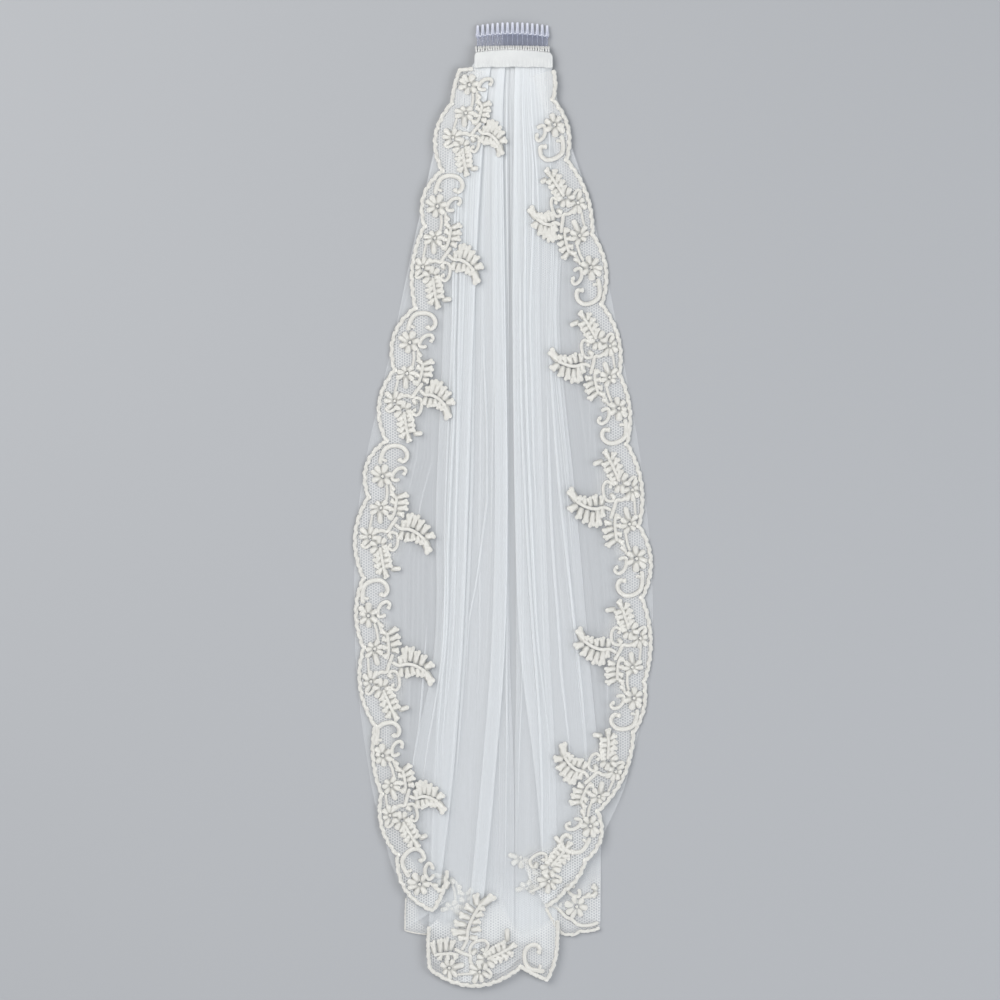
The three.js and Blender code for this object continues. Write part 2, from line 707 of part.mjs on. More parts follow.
const veil = new THREE.Group();
veil.add(
  piece('comb', clearComb(), finishes.clearPlastic),
  piece('heading_band', ribbonBand(), finishes.ribbon),
  piece('veil_tulle', clothWallSolid(), finishes.tulle),
  piece('lace_left', sideEdging(leftScallops, leftRepeats, 1, leftReturn), finishes.lace),
  piece('lace_right', sideEdging(rightScallops, rightRepeats, -1, rightReturn), finishes.lace),
  piece('lace_hem_centre', hemEdging(hemCentreOutline, hemCentreGaps, 5), finishes.lace),
  piece('lace_hem_left', hemEdging(hemLeftOutline.map(pairOf), hemLeftGaps, 2), finishes.lace),
  piece('lace_hem_right', hemEdging(hemRightOutline.map(pairOf), hemRightGaps, 2), finishes.lace),
);

export default veil;
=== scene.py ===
import bpy
import math
import numpy as np
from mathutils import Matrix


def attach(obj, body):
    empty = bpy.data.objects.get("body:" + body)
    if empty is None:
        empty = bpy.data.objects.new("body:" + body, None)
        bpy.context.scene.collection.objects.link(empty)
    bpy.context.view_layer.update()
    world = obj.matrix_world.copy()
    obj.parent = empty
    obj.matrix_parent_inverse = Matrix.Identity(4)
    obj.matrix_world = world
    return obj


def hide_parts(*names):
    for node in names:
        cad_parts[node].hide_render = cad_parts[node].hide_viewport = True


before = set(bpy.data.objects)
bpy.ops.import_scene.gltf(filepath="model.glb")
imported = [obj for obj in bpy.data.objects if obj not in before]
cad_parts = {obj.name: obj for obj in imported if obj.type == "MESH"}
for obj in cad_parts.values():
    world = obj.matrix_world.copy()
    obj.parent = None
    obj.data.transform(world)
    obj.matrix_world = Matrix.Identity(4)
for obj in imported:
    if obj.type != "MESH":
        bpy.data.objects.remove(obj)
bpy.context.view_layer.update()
print("frame loaded:", len(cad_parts), "nodes")

# Lengths are in millimetres down to addPiece, which makes them metres.
# A "drop" is a distance down the veil from the front edge of the band.
mm = 0.001
bandFrontY = 452.0


def addObject(name, data):  # an object of that data in the scene
    made = bpy.data.objects.new(name, data)
    bpy.context.collection.objects.link(made)
    return made


cameraSet = {
    "lens": 100.0, "sensor": 36.0, "shownWidth": 1.0, "middle": (-0.003, 0.004, 0.006), "clipEnd": 100.0,
}


def addCamera(look):  # straight above the veil, the comb towards the top of the picture
    data = bpy.data.cameras.new("photoCamera")
    data.lens = look["lens"]
    data.sensor_width = look["sensor"]
    data.clip_end = look["clipEnd"]
    camera = addObject("photoCamera", data)
    x, y, z = look["middle"]
    camera.location = (x, y, z + look["shownWidth"] * look["lens"] / look["sensor"])
    bpy.context.scene.camera = camera


addCamera(cameraSet)


def sumWith(operation, reflected=False):  # method for one operator of Wire
    def work(self, other):
        return self.paint.maths(operation, *((other, self) if reflected else (self, other)))

    return work


class Wire:  # a value in a material that can be used in sums
    def __init__(self, paint, socket):
        self.paint = paint
        self.socket = socket

    __add__, __radd__ = sumWith("ADD"), sumWith("ADD", True)
    __sub__, __rsub__ = sumWith("SUBTRACT"), sumWith("SUBTRACT", True)
    __mul__, __rmul__ = sumWith("MULTIPLY"), sumWith("MULTIPLY", True)
    __truediv__, __rtruediv__ = sumWith("DIVIDE"), sumWith("DIVIDE", True)
    __rpow__ = sumWith("POWER", True)


class Paint:  # a material and the nodes in it
    def __init__(self, name):
        self.material = bpy.data.materials.new(name)
        self.material.use_nodes = True
        self.tree = self.material.node_tree
        self.tree.nodes.clear()

    def node(self, kind, settings=None, inputs=None, out=0):
        # any node: its settings first, then the values or links of its sockets
        made = self.tree.nodes.new(kind)
        for name, value in (settings or {}).items():
            setattr(made, name, value)
        for name, value in (inputs or {}).items():
            if isinstance(value, Wire):
                self.tree.links.new(value.socket, made.inputs[name])
            else:
                made.inputs[name].default_value = value
        return Wire(self, made.outputs[out] if made.outputs else None)

    def maths(self, operation, *values, clamp=False):  # one sum of numbers and wires
        settings = {"operation": operation, "use_clamp": clamp}
        return self.node("ShaderNodeMath", settings, dict(enumerate(values)))

    def clamp(self, value):  # kept between 0 and 1
        return self.maths("ADD", value, 0.0, clamp=True)

    def blend(self, share, first, second):  # from one colour to another
        first, second = [c if isinstance(c, Wire) else (*c, 1) for c in (first, second)]
        return self.node("ShaderNodeMix", {"data_type": "RGBA"}, {0: share, 6: first, 7: second}, 2)

    def noise(self, size, where=None):  # cloudy pattern with lumps of a size in metres
        where = where or self.node("ShaderNodeTexCoord", out=3)
        return self.node("ShaderNodeTexNoise", None, {"Vector": where, "Scale": 1 / size, "Detail": 3.0})

    def flatPlace(self, name):  # the two parts of a UV map in millimetres
        parts = self.node("ShaderNodeUVMap", {"uv_map": name})
        split = self.node("ShaderNodeSeparateXYZ", None, {0: parts})
        return split, Wire(self, split.socket.node.outputs[1])

    def mark(self, name):  # a number stored on the points of the mesh
        return self.node("ShaderNodeAttribute", {"attribute_name": name}, out=2)

    def bump(self, height, depth):  # height pattern of a depth in metres
        return self.node("ShaderNodeBump", None, {"Height": height, "Distance": depth, "Strength": 1.0})

    def close(self, inputs):  # surface shader and the output
        shader = self.node("ShaderNodeBsdfPrincipled", None, inputs)
        self.node("ShaderNodeOutputMaterial", None, {0: shader})
        return self.material


def hexNet(paint, u, v, look):
    # threads of a six-sided net: three waves at 120 degrees, high where they cancel out
    turn = 2 * math.pi / look["netPitch"]
    total = 0.0
    for angle in (0.0, 2 * math.pi / 3, 4 * math.pi / 3):
        total = total + paint.maths("COSINE", (u * math.cos(angle) + v * math.sin(angle)) * turn)
    return paint.clamp((look["netLow"] - total) / look["netSoft"])


tulleLook = {
    "colour": (0.87, 0.895, 0.91),
    "layerAlpha": 0.19,  # share that one layer covers
    "netPitch": 1.5, "netLow": -0.1, "netSoft": 0.9, "netShare": 0.35, "netMean": 0.4,
    "streakWide": 2.2, "streakLong": 170.0, "streaks": 0.9,
}


def tullePaint(look):  # sheer net: each layer covers a share, more where it is seen edge on
    paint = Paint("softTulle")
    u, v = paint.flatPlace("cloth")
    net = hexNet(paint, u, v, look)
    where = paint.node("ShaderNodeCombineXYZ", None, {0: u / look["streakWide"], 1: v / look["streakLong"]})
    streak = paint.noise(1.0, where)
    amount = paint.mark("cover") * (1 - look["streaks"] / 2 + streak * look["streaks"])
    cover = 1 - (1 - look["layerAlpha"]) ** amount
    alpha = cover * (1 - look["netShare"] * look["netMean"] + net * look["netShare"])
    return paint.close({
        "Base Color": (*look["colour"], 1), "Roughness": 0.75, "Alpha": paint.clamp(alpha),
        "Sheen Weight": 0.2, "Specular IOR Level": 0.25,
    })


laceLook = {
    # the darker colour of the patches under the leaves is painted shade in the gaps of a cluster
    "ivory": (0.93, 0.915, 0.86), "shade": (0.84, 0.82, 0.76), "padShade": (0.72, 0.71, 0.665),
    "stitchLong": 0.6, "stitchLean": 1.2, "stitchDeep": 0.00016, "cloud": 0.005,
    "ground": (0.9, 0.9, 0.885), "groundLow": 0.08, "groundThread": 0.38,
    "netPitch": 2.4, "netLow": 0.1, "netSoft": 0.8,
}


def cordPaint(look):  # satin-stitched cord: fine stitches across it, slightly uneven in tone; the patches under the leaves take a darker colour, painted shade between the leaves
    paint = Paint("laceCord")
    u, v = paint.flatPlace("thread")
    stitch = paint.maths("SINE", u * (2 * math.pi / look["stitchLong"]) + v * look["stitchLean"])
    tone = paint.noise(look["cloud"])
    satin = paint.blend(paint.clamp(tone * 1.4 - 0.35), look["ivory"], look["shade"])
    # cover is 0 on the patches under the leaves, which then get the darker colour as painted shade between
    # the leaves
    return paint.close({
        "Base Color": paint.blend(paint.mark("cover"), look["padShade"], satin), "Roughness": 0.62,
        "Sheen Weight": 0.15, "Specular IOR Level": 0.3, "Normal": paint.bump(stitch, look["stitchDeep"]),
    })


def groundPaint(look):  # the lace's own net, closer than the tulle and fading out at its inner edge
    paint = Paint("laceNet")
    u, v = paint.flatPlace("cloth")
    net = hexNet(paint, u, v, look)
    alpha = (look["groundLow"] + net * look["groundThread"]) * paint.mark("cover")
    return paint.close({
        "Base Color": (*look["ground"], 1), "Roughness": 0.75, "Alpha": paint.clamp(alpha),
        "Specular IOR Level": 0.25,
    })


ribbonLook = {
    # fold is a darker colour that stands for painted fold shade
    "colour": (0.7, 0.71, 0.7), "fold": (0.61, 0.62, 0.62), "cloud": 0.012,
    "weave": 0.5, "weftLong": 1.4, "weaveDeep": 0.00008,
}


def ribbonPaint(look):  # fine ribbed satin, with painted fold shade in cloudy patches
    paint = Paint("satinRibbon")
    u, v = paint.flatPlace("cloth")
    rib = paint.maths("SINE", u * (2 * math.pi / look["weave"]))
    weft = paint.maths("SINE", v * (2 * math.pi / look["weave"] / look["weftLong"]))
    # cloudy patches where the fold colour lays painted shade on the ribbon
    tone = paint.noise(look["cloud"])
    return paint.close({
        "Base Color": paint.blend(paint.clamp(tone * 1.6 - 0.55), look["colour"], look["fold"]),
        "Roughness": 0.55, "Sheen Weight": 0.1, "Specular IOR Level": 0.3,
        "Normal": paint.bump(rib * 0.6 + weft * 0.4, look["weaveDeep"]),
    })


threadLook = {"colour": (0.8, 0.8, 0.78), "plyLong": 0.7, "plyLean": 2.5, "plyDeep": 0.00012}


def threadPaint(look):  # twisted sewing thread
    paint = Paint("sewingThread")
    u, v = paint.flatPlace("thread")
    ply = paint.maths("SINE", u * (2 * math.pi / look["plyLong"]) + v * look["plyLean"])
    return paint.close({
        "Base Color": (*look["colour"], 1), "Roughness": 0.6, "Normal": paint.bump(ply, look["plyDeep"]),
    })


# tooth is the white of the thick parts, which is also their painted highlight
combLook = {
    "web": (0.2, 0.23, 0.37), "tooth": (0.84, 0.86, 0.95), "webAlpha": 0.15, "toothAlpha": 0.72,
    "cloud": 0.012, "haze": 0.06, "polish": 0.08, "dull": 0.12,
}


def combPaint(look):  # clear moulded plastic, more opaque where it is thick, and whiter there and towards the tooth tips as painted highlight
    paint = Paint("clearPlastic")
    # cover is partly thickness and partly painted highlight towards the tips and on the rods
    thick = paint.mark("cover")
    haze = paint.noise(look["cloud"])
    alpha = look["webAlpha"] + thick * (look["toothAlpha"] - look["webAlpha"]) + haze * look["haze"]
    return paint.close({
        "Base Color": paint.blend(thick, look["web"], look["tooth"]),
        "Roughness": paint.clamp(look["polish"] + haze * look["dull"]), "IOR": 1.49, "Coat Weight": 0.6,
        "Coat Roughness": 0.06, "Alpha": paint.clamp(alpha),
    })


def addPiece(name, points, faces, material, uv, uvName, marks, nodes=()):
    # mesh of whole arrays: points in millimetres, faces of three or four corners
    mesh = bpy.data.meshes.new(name)
    mesh.from_pydata((np.asarray(points) * mm).tolist(), [], faces)
    mesh.polygons.foreach_set("use_smooth", np.ones(len(mesh.polygons), bool))
    corner = np.zeros(len(mesh.loops), np.int32)
    mesh.loops.foreach_get("vertex_index", corner)
    layer = mesh.uv_layers.new(name=uvName)
    layer.data.foreach_set("uv", np.asarray(uv, np.float32)[corner].ravel())
    for mark, values in marks.items():
        made = mesh.attributes.new(mark, "FLOAT", "POINT")
        made.data.foreach_set("value", np.asarray(values, np.float32).ravel())
    mesh.materials.append(material)
    mesh.update()
    piece = addObject(name, mesh)
    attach(piece, "root")
    if nodes:
        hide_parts(*nodes)
    print("piece", name, "faces", len(faces))
    return piece


def gridFaces(rows, columns, closed=False):
    # quads of a grid of points, row by row; closed joins its last column to the first
    row = np.arange(rows - 1)[:, None] * columns
    k = np.arange(columns if closed else columns - 1)[None, :]
    after = (k + 1) % columns
    quads = np.stack([row + k, row + after, row + columns + after, row + columns + k], -1)
    return quads.reshape(-1, 4)


def ease(start, stop, at):  # smooth step from 0 to 1
    share = np.clip((np.asarray(at, float) - start) / (stop - start), 0, 1)
    return share * share * (3 - 2 * share)


def mix(a, b, share):  # from a to b by a share
    return a + (b - a) * share


def through(knots, values, at):
    # smooth curve through knots: cubic pieces whose slopes come from the neighbours
    knots, values, at = (np.asarray(a, float) for a in (knots, values, at))
    low = np.maximum(np.arange(len(knots)) - 1, 0)
    high = np.minimum(np.arange(len(knots)) + 1, len(knots) - 1)
    slope = (values[high] - values[low]) / (knots[high] - knots[low])
    k = np.clip(np.searchsorted(knots, at, side="right") - 1, 0, len(knots) - 2)
    span = knots[k + 1] - knots[k]
    t = np.clip((at - knots[k]) / span, 0, 1)
    leave = t * (1 - t) ** 2 * span * slope[k]
    arrive = t * t * (t - 1) * span * slope[k + 1]
    return mix(values[k], values[k + 1], t * t * (3 - 2 * t)) + leave + arrive


def walked(paths):  # distance along each path to each of its points
    steps = np.linalg.norm(np.diff(paths, axis=-2), axis=-1)
    return np.concatenate([np.zeros((*steps.shape[:-1], 1)), np.cumsum(steps, axis=-1)], axis=-1)


layers = {
    "wall": 1.0, "pressedWall": 0.8, "pitch": 1.35, "pressedPitch": 1.05, "sewnGap": 0.35,
    "pressedEnd": 20.0, "flatFrom": 110.0, "bandWall": 1.0, "archRise": 4.0, "archMiddle": 9.5,
    "archHalf": 39.0, "apronRun": 45.0, "laceLift": 0.55, "ridgeLift": 0.7, "ridgeReach": 18.0,
}

# Lengthwise lines of the cloth in order from edge to edge: x at each drop of lineDrops and last
# at the line's own end, that end's drop, the way the cloth turns there (0 is straight on), and
# the layers it comes in and goes out on; layer 0 is the slope of the side flaps
lineDrops = [6, 58, 148, 278, 448, 598, 728]
clothLines = {
    "leftEdge": ([-26, -57, -80, -108, -144, -148, -133, -112], 812, 0, 0, 0),
    "leftOuter": ([-24, -47, -63, -82, -112, -117, -116, -101], 834, 0, 0, 0),
    "leftInner": ([-21, -40, -56, -59, -66, -68, -90, -84], 850, 0, 0, 0),
    "leftFlapFold": ([-11, -17, -23, -29, -34, -40, -50, -65], 856, 1, 5, 4),
    "leftBodyFold": ([-22, -41, -57, -60, -67, -69, -93, -97.5], 877, -1, 2, 1),
    "leftHiddenFold": ([6, 6, 6, 6, 6, 7, 11, 11.8], 889, 1, 1, 2),
    "centreLeftFold": ([-15, -31, -40, -46, -54, -63, -69.5, -75.5], 904, -1, 2, 3),
    "riseFoot": ([-8, -17, -17, -16, -14, -18, -28, -47], 930, 0, 3, 3),
    "riseTop": ([-5, -12, -13, -12, -10, -14, -24, -43], 930, 0, 5, 5),
    "ribbonFrontFold": ([3, 0, 1, 3, 5, 2, -8, -27], 930, 1, 5, 4),
    "ribbonBackFold": ([-4, -10, -11, -10, -8, -12, -22, -41], 930, -1, 4, 3),
    "centreMiddle": ([6, 6, 7, 9, 11, 10, 6, 2], 920, 0, 3, 3),
    "centreDip": ([14, 14, 16, 18, 22, 22, 18, 18], 905, 0, 3, 3),
    "centreCorner": ([24, 26, 29, 31, 34, 38, 43, 41], 919, 0, 3, 3),
    "centreRightFold": ([30, 33, 37, 37, 42, 47, 53, 54.5], 902, 1, 3, 2),
    "rightHiddenFold": ([7.5, 8, 9, 10.5, 12, 13, 12, 12.2], 889, -1, 2, 1),
    "rightBodyFold": ([42, 46, 59, 57, 73, 86, 97, 98], 871, 1, 1, 2),
    "rightFlapFold": ([12, 11, 10, 9.5, 11.5, 17, 32.5, 42], 852, -1, 4, 5),
    "rightMiddle": ([25, 27, 33, 33, 42, 52, 66, 69], 824, 0, 5, 5),
    "rightInner": ([41, 45, 58, 56, 74, 87, 96, 84], 803, 0, 0, 0),
    "rightOuter": ([44, 50, 68, 82, 107, 117, 109, 92], 795, 0, 0, 0),
    "rightEdge": ([47, 57, 86, 115, 143, 149, 124, 97], 790, 0, 0, 0),
}


def lineX(name, drop):  # x of one of the lines at a drop
    values, end, *_ = clothLines[name]
    return through([*lineDrops, end], values, drop)


def archZ(x):  # comb, band and gathers stand in one low arch
    away = (x - layers["archMiddle"]) / layers["archHalf"]
    return layers["archRise"] * np.maximum(0, 1 - away ** 2)


def layerZ(layer, x, drop):  # height of the middle of the cloth in a layer, counted from 1
    settled = ease(layers["pressedEnd"], layers["flatFrom"], drop)
    sewn = layers["bandWall"] + layers["sewnGap"] + layers["pressedWall"] / 2 + archZ(x)
    base = mix(sewn, layers["wall"] / 2, settled)
    return base + (layer - 1) * mix(layers["pressedPitch"], layers["pitch"], settled)


def bodyFold(x, drop):  # whether a place is in the left half, and x of the folded body's edge there
    left = x < lineX("centreMiddle", drop)
    return left, np.where(left, lineX("leftBodyFold", drop), lineX("rightBodyFold", drop))


def apronZ(x, drop):  # the side flaps slope from the folded body down to the floor
    left, fold = bodyFold(x, drop)
    edge = np.where(left, lineX("leftEdge", drop), lineX("rightEdge", drop))
    outside = np.where(left, fold - x, x - fold)
    run = np.maximum(layers["apronRun"], np.abs(edge - fold))
    return mix(layerZ(5, x, drop), layerZ(1, x, drop), np.clip(outside / run, 0, 1))


def laceZ(x, drop):  # underside of the edging, which lies on the side flaps
    _, fold = bodyFold(x, drop)
    ridge = layers["ridgeLift"] * np.exp(-((x - fold) / layers["ridgeReach"]) ** 2)
    return apronZ(x, drop) + layers["laceLift"] + ridge


clothLook = {
    "spacing": 2.4,        # between points across the cloth
    "faceBudget": 97000,
    "rowSpread": 1.12,     # above 1 the rows lie closer together near the band
    "tucks": 46,           # small lengthwise tucks besides those in tuckLines
    "tuckPart": (0.06, 0.94),
    "tuckWide": (1.6, 5.0),
    "tuckStart": 5.0,
    "tuckEnd": (240, 900),
    "flapTuckEnd": 260.0,
    "tuckFades": (60, 160),  # how far down a tuck takes to grow, and to fade at its end
    "tuckLift": 0.3,
    "ripple": 0.3,
    "ripples": ((61, 0.45), (97, 0.35), (143, 0.3)),  # how many across the cloth, and their size
    "gathers": ((2.6, 85), (0.5, 320)),  # extra cover at the band, and how far down it fades
    "hemCover": 0.9,       # extra cover where the hem is folded, between these drops and x
    "hemDrop": (815, 870),
    "hemLeft": (-70, -45),
    "hemRight": (48, 70),
    "seed": 7,
}

# Tucks that show in the photograph: the line before them, their x and drop, width, start, end
tuckLines = [
    ("rightFlapFold", [(17, 250), (18, 348), (21, 428), (25, 508), (30, 588), (36, 668),
                       (39, 748)], 6.5, 190, 860),
    ("rightFlapFold", [(30, 180), (27, 268), (29, 348), (31, 428), (35, 480)], 3.5, 60, 520),
    ("rightMiddle", [(44, 330), (47, 448), (50, 508), (56, 588), (59, 650), (63, 710)], 4.0, 330, 760),
    ("rightMiddle", [(46, 300), (55, 428), (63, 508), (72, 588), (80, 668), (84, 720)], 5.0, 260, 770),
    ("ribbonBackFold", [(3, 400), (3.6, 480), (3.8, 560), (3.6, 700), (2, 860)], 2.6, 330, 880),
    ("centreLeftFold", [(-19, 300), (-15, 420), (-20, 468), (-27, 520), (-34, 560),
                        (-38, 640)], 3.0, 260, 660),
    ("leftInner", [(-50, 360), (-54, 440), (-57, 520), (-60, 600), (-66, 680)], 4.0, 120, 720),
    ("leftInner", [(-42, 200), (-45, 330), (-47, 450), (-50, 560)], 3.0, 60, 560),
    ("leftOuter", [(-70, 400), (-81, 440), (-85, 462), (-92, 490), (-99, 520)], 3.0, 400, 520),
    ("leftOuter", [(-76, 560), (-80, 620), (-88, 700), (-96, 760)], 3.0, 560, 800),
    ("rightInner", [(88, 600), (92, 640), (102, 668), (104, 700)], 3.0, 600, 700),
]


def clothSheet(look):
    # The cloth as one surface: a crossways line of points, carried down the veil. The line runs
    # through clothLines, half a circle at each fold, with a small z-shaped tuck at each tuck line.
    rng = np.random.default_rng(look["seed"])
    grow, fade = look["tuckFades"]
    tucks = {name: [] for name in clothLines}
    for name, line, wide, begin, end in tuckLines:
        tucks[name].append((None, np.array(line, float), wide, begin, end))
    plain = ("leftEdge", "rightOuter", "rightEdge", "riseFoot", "riseTop")
    crowded = [name for name in clothLines if name not in plain]
    for k in range(look["tucks"]):
        part = rng.uniform(*look["tuckPart"])
        wide = rng.uniform(*look["tuckWide"])
        end = rng.uniform(*look["tuckEnd"])
        name = crowded[k % len(crowded)]
        if name in ("leftOuter", "rightInner"):
            end = look["flapTuckEnd"]
        tucks[name].append((part, None, wide, look["tuckStart"], end))

    def sections(shares):  # points of the crossways line at shares of the way down, and the steps to each
        steps, points = [], []

        def add(x, drop, z, step=None):
            points.append(np.stack([x, drop, z]))
            steps.append(step)

        def halfTurn(x, drop, low, high, way, sides):  # half a circle from low to high, furthest out at x
            radius = np.abs(high - low) / 2
            for turn in np.linspace(-np.pi / 2, np.pi / 2, sides + 1):
                z = (low + high) / 2 + (high - low) / 2 * np.sin(turn)
                add(x - radius * way * (1 - np.cos(turn)), drop, z, 1 if turn > -1.5 else None)

        stops = []  # each line with its x and drops, its way and its layers
        for name, (_, end, *turn) in clothLines.items():
            drop = mix(lineDrops[0], end, shares)
            stops.append((name, lineX(name, drop), drop, *turn))
        for k, (name, x, drop, way, low, high) in enumerate(stops):
            if way:
                halfTurn(x, drop, layerZ(low, x, drop), layerZ(high, x, drop), way, 4)
            else:
                add(x, drop, layerZ(low, x, drop) if low else apronZ(x, drop))
            if k + 1 == len(stops):
                break
            _, nextX, nextDrop, _, nextLayer, _ = stops[k + 1]
            wayNow = 1 if (nextX - x).sum() > 0 else -1
            rows = []  # this stretch's tucks in order, each as the part of the way to the next line
            for part, line, wide, begin, end in tucks[name]:
                if part is None:
                    at = through(line[:, 1], line[:, 0], drop)
                    across = np.where(np.abs(nextX - x) < 1, 1, nextX - x)
                    part = np.clip((at - x) / across, 0.05, 0.95)
                rows.append((part + 0 * drop, wide, begin, end))
            rows.sort(key=lambda row: row[0].mean())
            for n, (part, wide, begin, end) in enumerate(rows):
                if n:
                    part = np.maximum(part, rows[n - 1][0] + 0.02)
                    rows[n] = (part, wide, begin, end)
                px, pd = mix(x, nextX, part), mix(drop, nextDrop, part)
                grown = ease(begin - 5, begin + grow, pd) * (1 - ease(end - fade, end, pd))
                half = np.minimum(wide, 0.12 * np.abs(nextX - x) + 0.4) * grown / 2 + 0.05
                lift = look["tuckLift"] * (0.15 + 0.85 * grown)
                if high and nextLayer:
                    z = layerZ(mix(high, nextLayer, part), px, pd)
                else:
                    z = apronZ(px, pd)
                halfTurn(px + wayNow * half, pd, z, z + lift, wayNow, 2)
                halfTurn(px - wayNow * half, pd, z + lift, z + 2 * lift, -wayNow, 2)
                add(px + wayNow * half, pd, z + 1.8 * lift)
        return np.array(points), steps

    coarse, rules = sections(np.linspace(0, 1, 40))
    long = np.linalg.norm(np.diff(coarse, axis=0), axis=1).max(1)
    steps = [rule or max(1, int(length / look["spacing"])) for rule, length in zip(rules[1:], long)]
    columns = sum(steps) + 1
    rows = int(look["faceBudget"] / columns)
    control, _ = sections(np.linspace(0, 1, rows) ** look["rowSpread"])
    at = np.repeat(np.arange(len(steps)), steps)
    share = np.concatenate([np.arange(count) / count for count in steps])[:, None, None]
    lines = np.concatenate([control[at] * (1 - share) + control[at + 1] * share, control[-1:]])
    sheet = lines.transpose(2, 0, 1)  # rows, columns, axes
    for _ in range(2):  # rounds the corners where stretches meet
        sheet[:, 1:-1] = sheet[:, 1:-1] * 0.5 + (sheet[:, :-2] + sheet[:, 2:]) * 0.25
    along = walked(sheet).mean(0)
    drop = sheet[:, :, 1]
    waves = 0
    for count, size in look["ripples"]:  # they run down the cloth
        phase = rng.uniform(0, 2 * np.pi)
        sway = 0.9 * np.sin(drop / 210 + rng.uniform(0, 6)) + 0.5 * np.sin(drop / 83 + rng.uniform(0, 6))
        loud = 0.6 + 0.4 * np.sin(2 * np.pi * along / along[-1] * rng.uniform(5, 11) + phase)
        waves = waves + size * loud * np.sin(2 * np.pi * along / along[-1] * count + sway + phase)
    sheet[:, :, 2] += look["ripple"] * waves * (0.3 + 0.7 * (1 - ease(150, 900, drop))) * ease(2, 30, drop)
    sheet[:, :, 2] = np.maximum(sheet[:, :, 2], 0.15)
    points = np.stack([sheet[:, :, 0], bandFrontY - drop, sheet[:, :, 2]], -1)
    normal = np.cross(np.gradient(points, axis=1), np.gradient(points, axis=0))
    flatness = np.abs(normal[:, :, 2]) / np.maximum(np.linalg.norm(normal, axis=2), 1e-9)
    (near, nearFade), (far, farFade) = look["gathers"]
    gathered = 1 + near * np.exp(-drop / nearFade) + far * np.exp(-drop / farFade)
    x = points[:, :, 0]
    folded = ease(*look["hemLeft"], x) * (1 - ease(*look["hemRight"], x))
    hem = 1 + look["hemCover"] * ease(*look["hemDrop"], drop) * folded
    cover = gathered * hem / np.maximum(flatness, 0.3)
    uv = np.stack([np.broadcast_to(along, drop.shape), drop], -1)
    return points.reshape(-1, 3), gridFaces(rows, columns), uv.reshape(-1, 2), cover.ravel()


tulle = tullePaint(tulleLook)
points, quads, uv, cover = clothSheet(clothLook)
veil = addPiece("veil_cloth", points, quads[:, ::-1].tolist(), tulle, uv, "cloth", {"cover": cover},
                ["veil_tulle"])


def cordMesh(paths, halfWide, halfHigh, sides=8, twist=0.0, twistPitch=2.2, groove=0.0):
    # Tubes: an ellipse carried along each path, closed in a point at both ends.
    # paths (cords, rings, 3), half widths and half heights (cords, rings).
    # A twist makes two strands that wind round each other; a groove runs along the top.
    cords, rings, _ = paths.shape
    tangent = np.gradient(paths, axis=1)
    tangent /= np.maximum(np.linalg.norm(tangent, axis=2, keepdims=True), 1e-9)
    side = np.cross(tangent, [0, 0, 1.0])
    side /= np.maximum(np.linalg.norm(side, axis=2, keepdims=True), 1e-9)
    top = np.cross(side, tangent)
    length = walked(paths)
    turn = 2 * np.pi * np.arange(sides) / sides
    swell = 1 + twist * np.cos(2 * turn[None, None, :] + 2 * np.pi * length[:, :, None] / twistPitch)
    across = halfWide[:, :, None] * np.cos(turn) * swell
    dent = 1 - groove * np.exp(-(np.cos(turn) / 0.4) ** 2) * (np.sin(turn) > 0)
    upward = halfHigh[:, :, None] * np.sin(turn) * dent * swell
    ring = paths[:, :, None] + side[:, :, None] * across[..., None] + top[:, :, None] * upward[..., None]
    inner = ring[:, 1:-1].reshape(cords, -1, 3)
    points = np.concatenate([inner, paths[:, :1], paths[:, -1:]], axis=1)
    around = np.broadcast_to(turn[None, None, :] / (2 * np.pi) * 6, (cords, rings - 2, sides))
    walk = np.broadcast_to(length[:, 1:-1, None], (cords, rings - 2, sides))
    uvInner = np.stack([walk, around], -1).reshape(cords, -1, 2)
    uvEnds = np.stack([length[:, [0, -1]], np.zeros((cords, 2))], -1)
    uv = np.concatenate([uvInner, uvEnds], axis=1)
    each = points.shape[1]
    quads = gridFaces(rings - 2, sides, closed=True)[:, [0, 3, 2, 1]]
    k = np.arange(sides)
    after = (k + 1) % sides
    start, stop = each - 2, each - 1
    lastRing = (rings - 3) * sides
    tips = np.concatenate([
        np.stack([np.full(sides, start), k, after], -1),
        np.stack([np.full(sides, stop), lastRing + after, lastRing + k], -1),
    ])
    shift = (np.arange(cords) * each)[:, None, None]
    faces = (quads[None] + shift).reshape(-1, 4).tolist() + (tips[None] + shift).reshape(-1, 3).tolist()
    return points.reshape(-1, 3), faces, uv.reshape(-1, 2)


class Heap:  # meshes gathered into one piece
    def __init__(self):
        self.points, self.faces, self.uv, self.cover, self.count = [], [], [], [], 0

    def add(self, points, faces, uv, cover=1.0):
        self.points.append(points)
        self.uv.append(uv)
        self.cover.append(np.zeros(len(points)) + cover)
        self.faces += [[corner + self.count for corner in face] for face in faces]
        self.count += len(points)

    def piece(self, name, material, slot, nodes=(), uvName="thread"):
        points, uv, cover = (np.concatenate(part) for part in (self.points, self.uv, self.cover))
        return addPiece(name, points, self.faces, material, uv, uvName, {"cover": cover}, nodes)


def evenly(path, spacing=None, count=None):  # the same line with its points an even distance apart
    path = np.asarray(path, float)
    walk = walked(path)
    at = np.linspace(0, walk[-1], count or max(4, int(walk[-1] / spacing) + 1))
    return np.stack([np.interp(at, walk, path[:, k]) for k in range(path.shape[1])], -1)


def smoothLine(knots, spacing):  # smooth curve through a few points, then evenly spaced
    knots = np.asarray(knots, float)
    at = np.arange(len(knots))
    fine = np.linspace(0, len(knots) - 1, 12 * len(knots))
    return evenly(np.stack([through(at, knots[:, k], fine) for k in range(knots.shape[1])], -1), spacing)


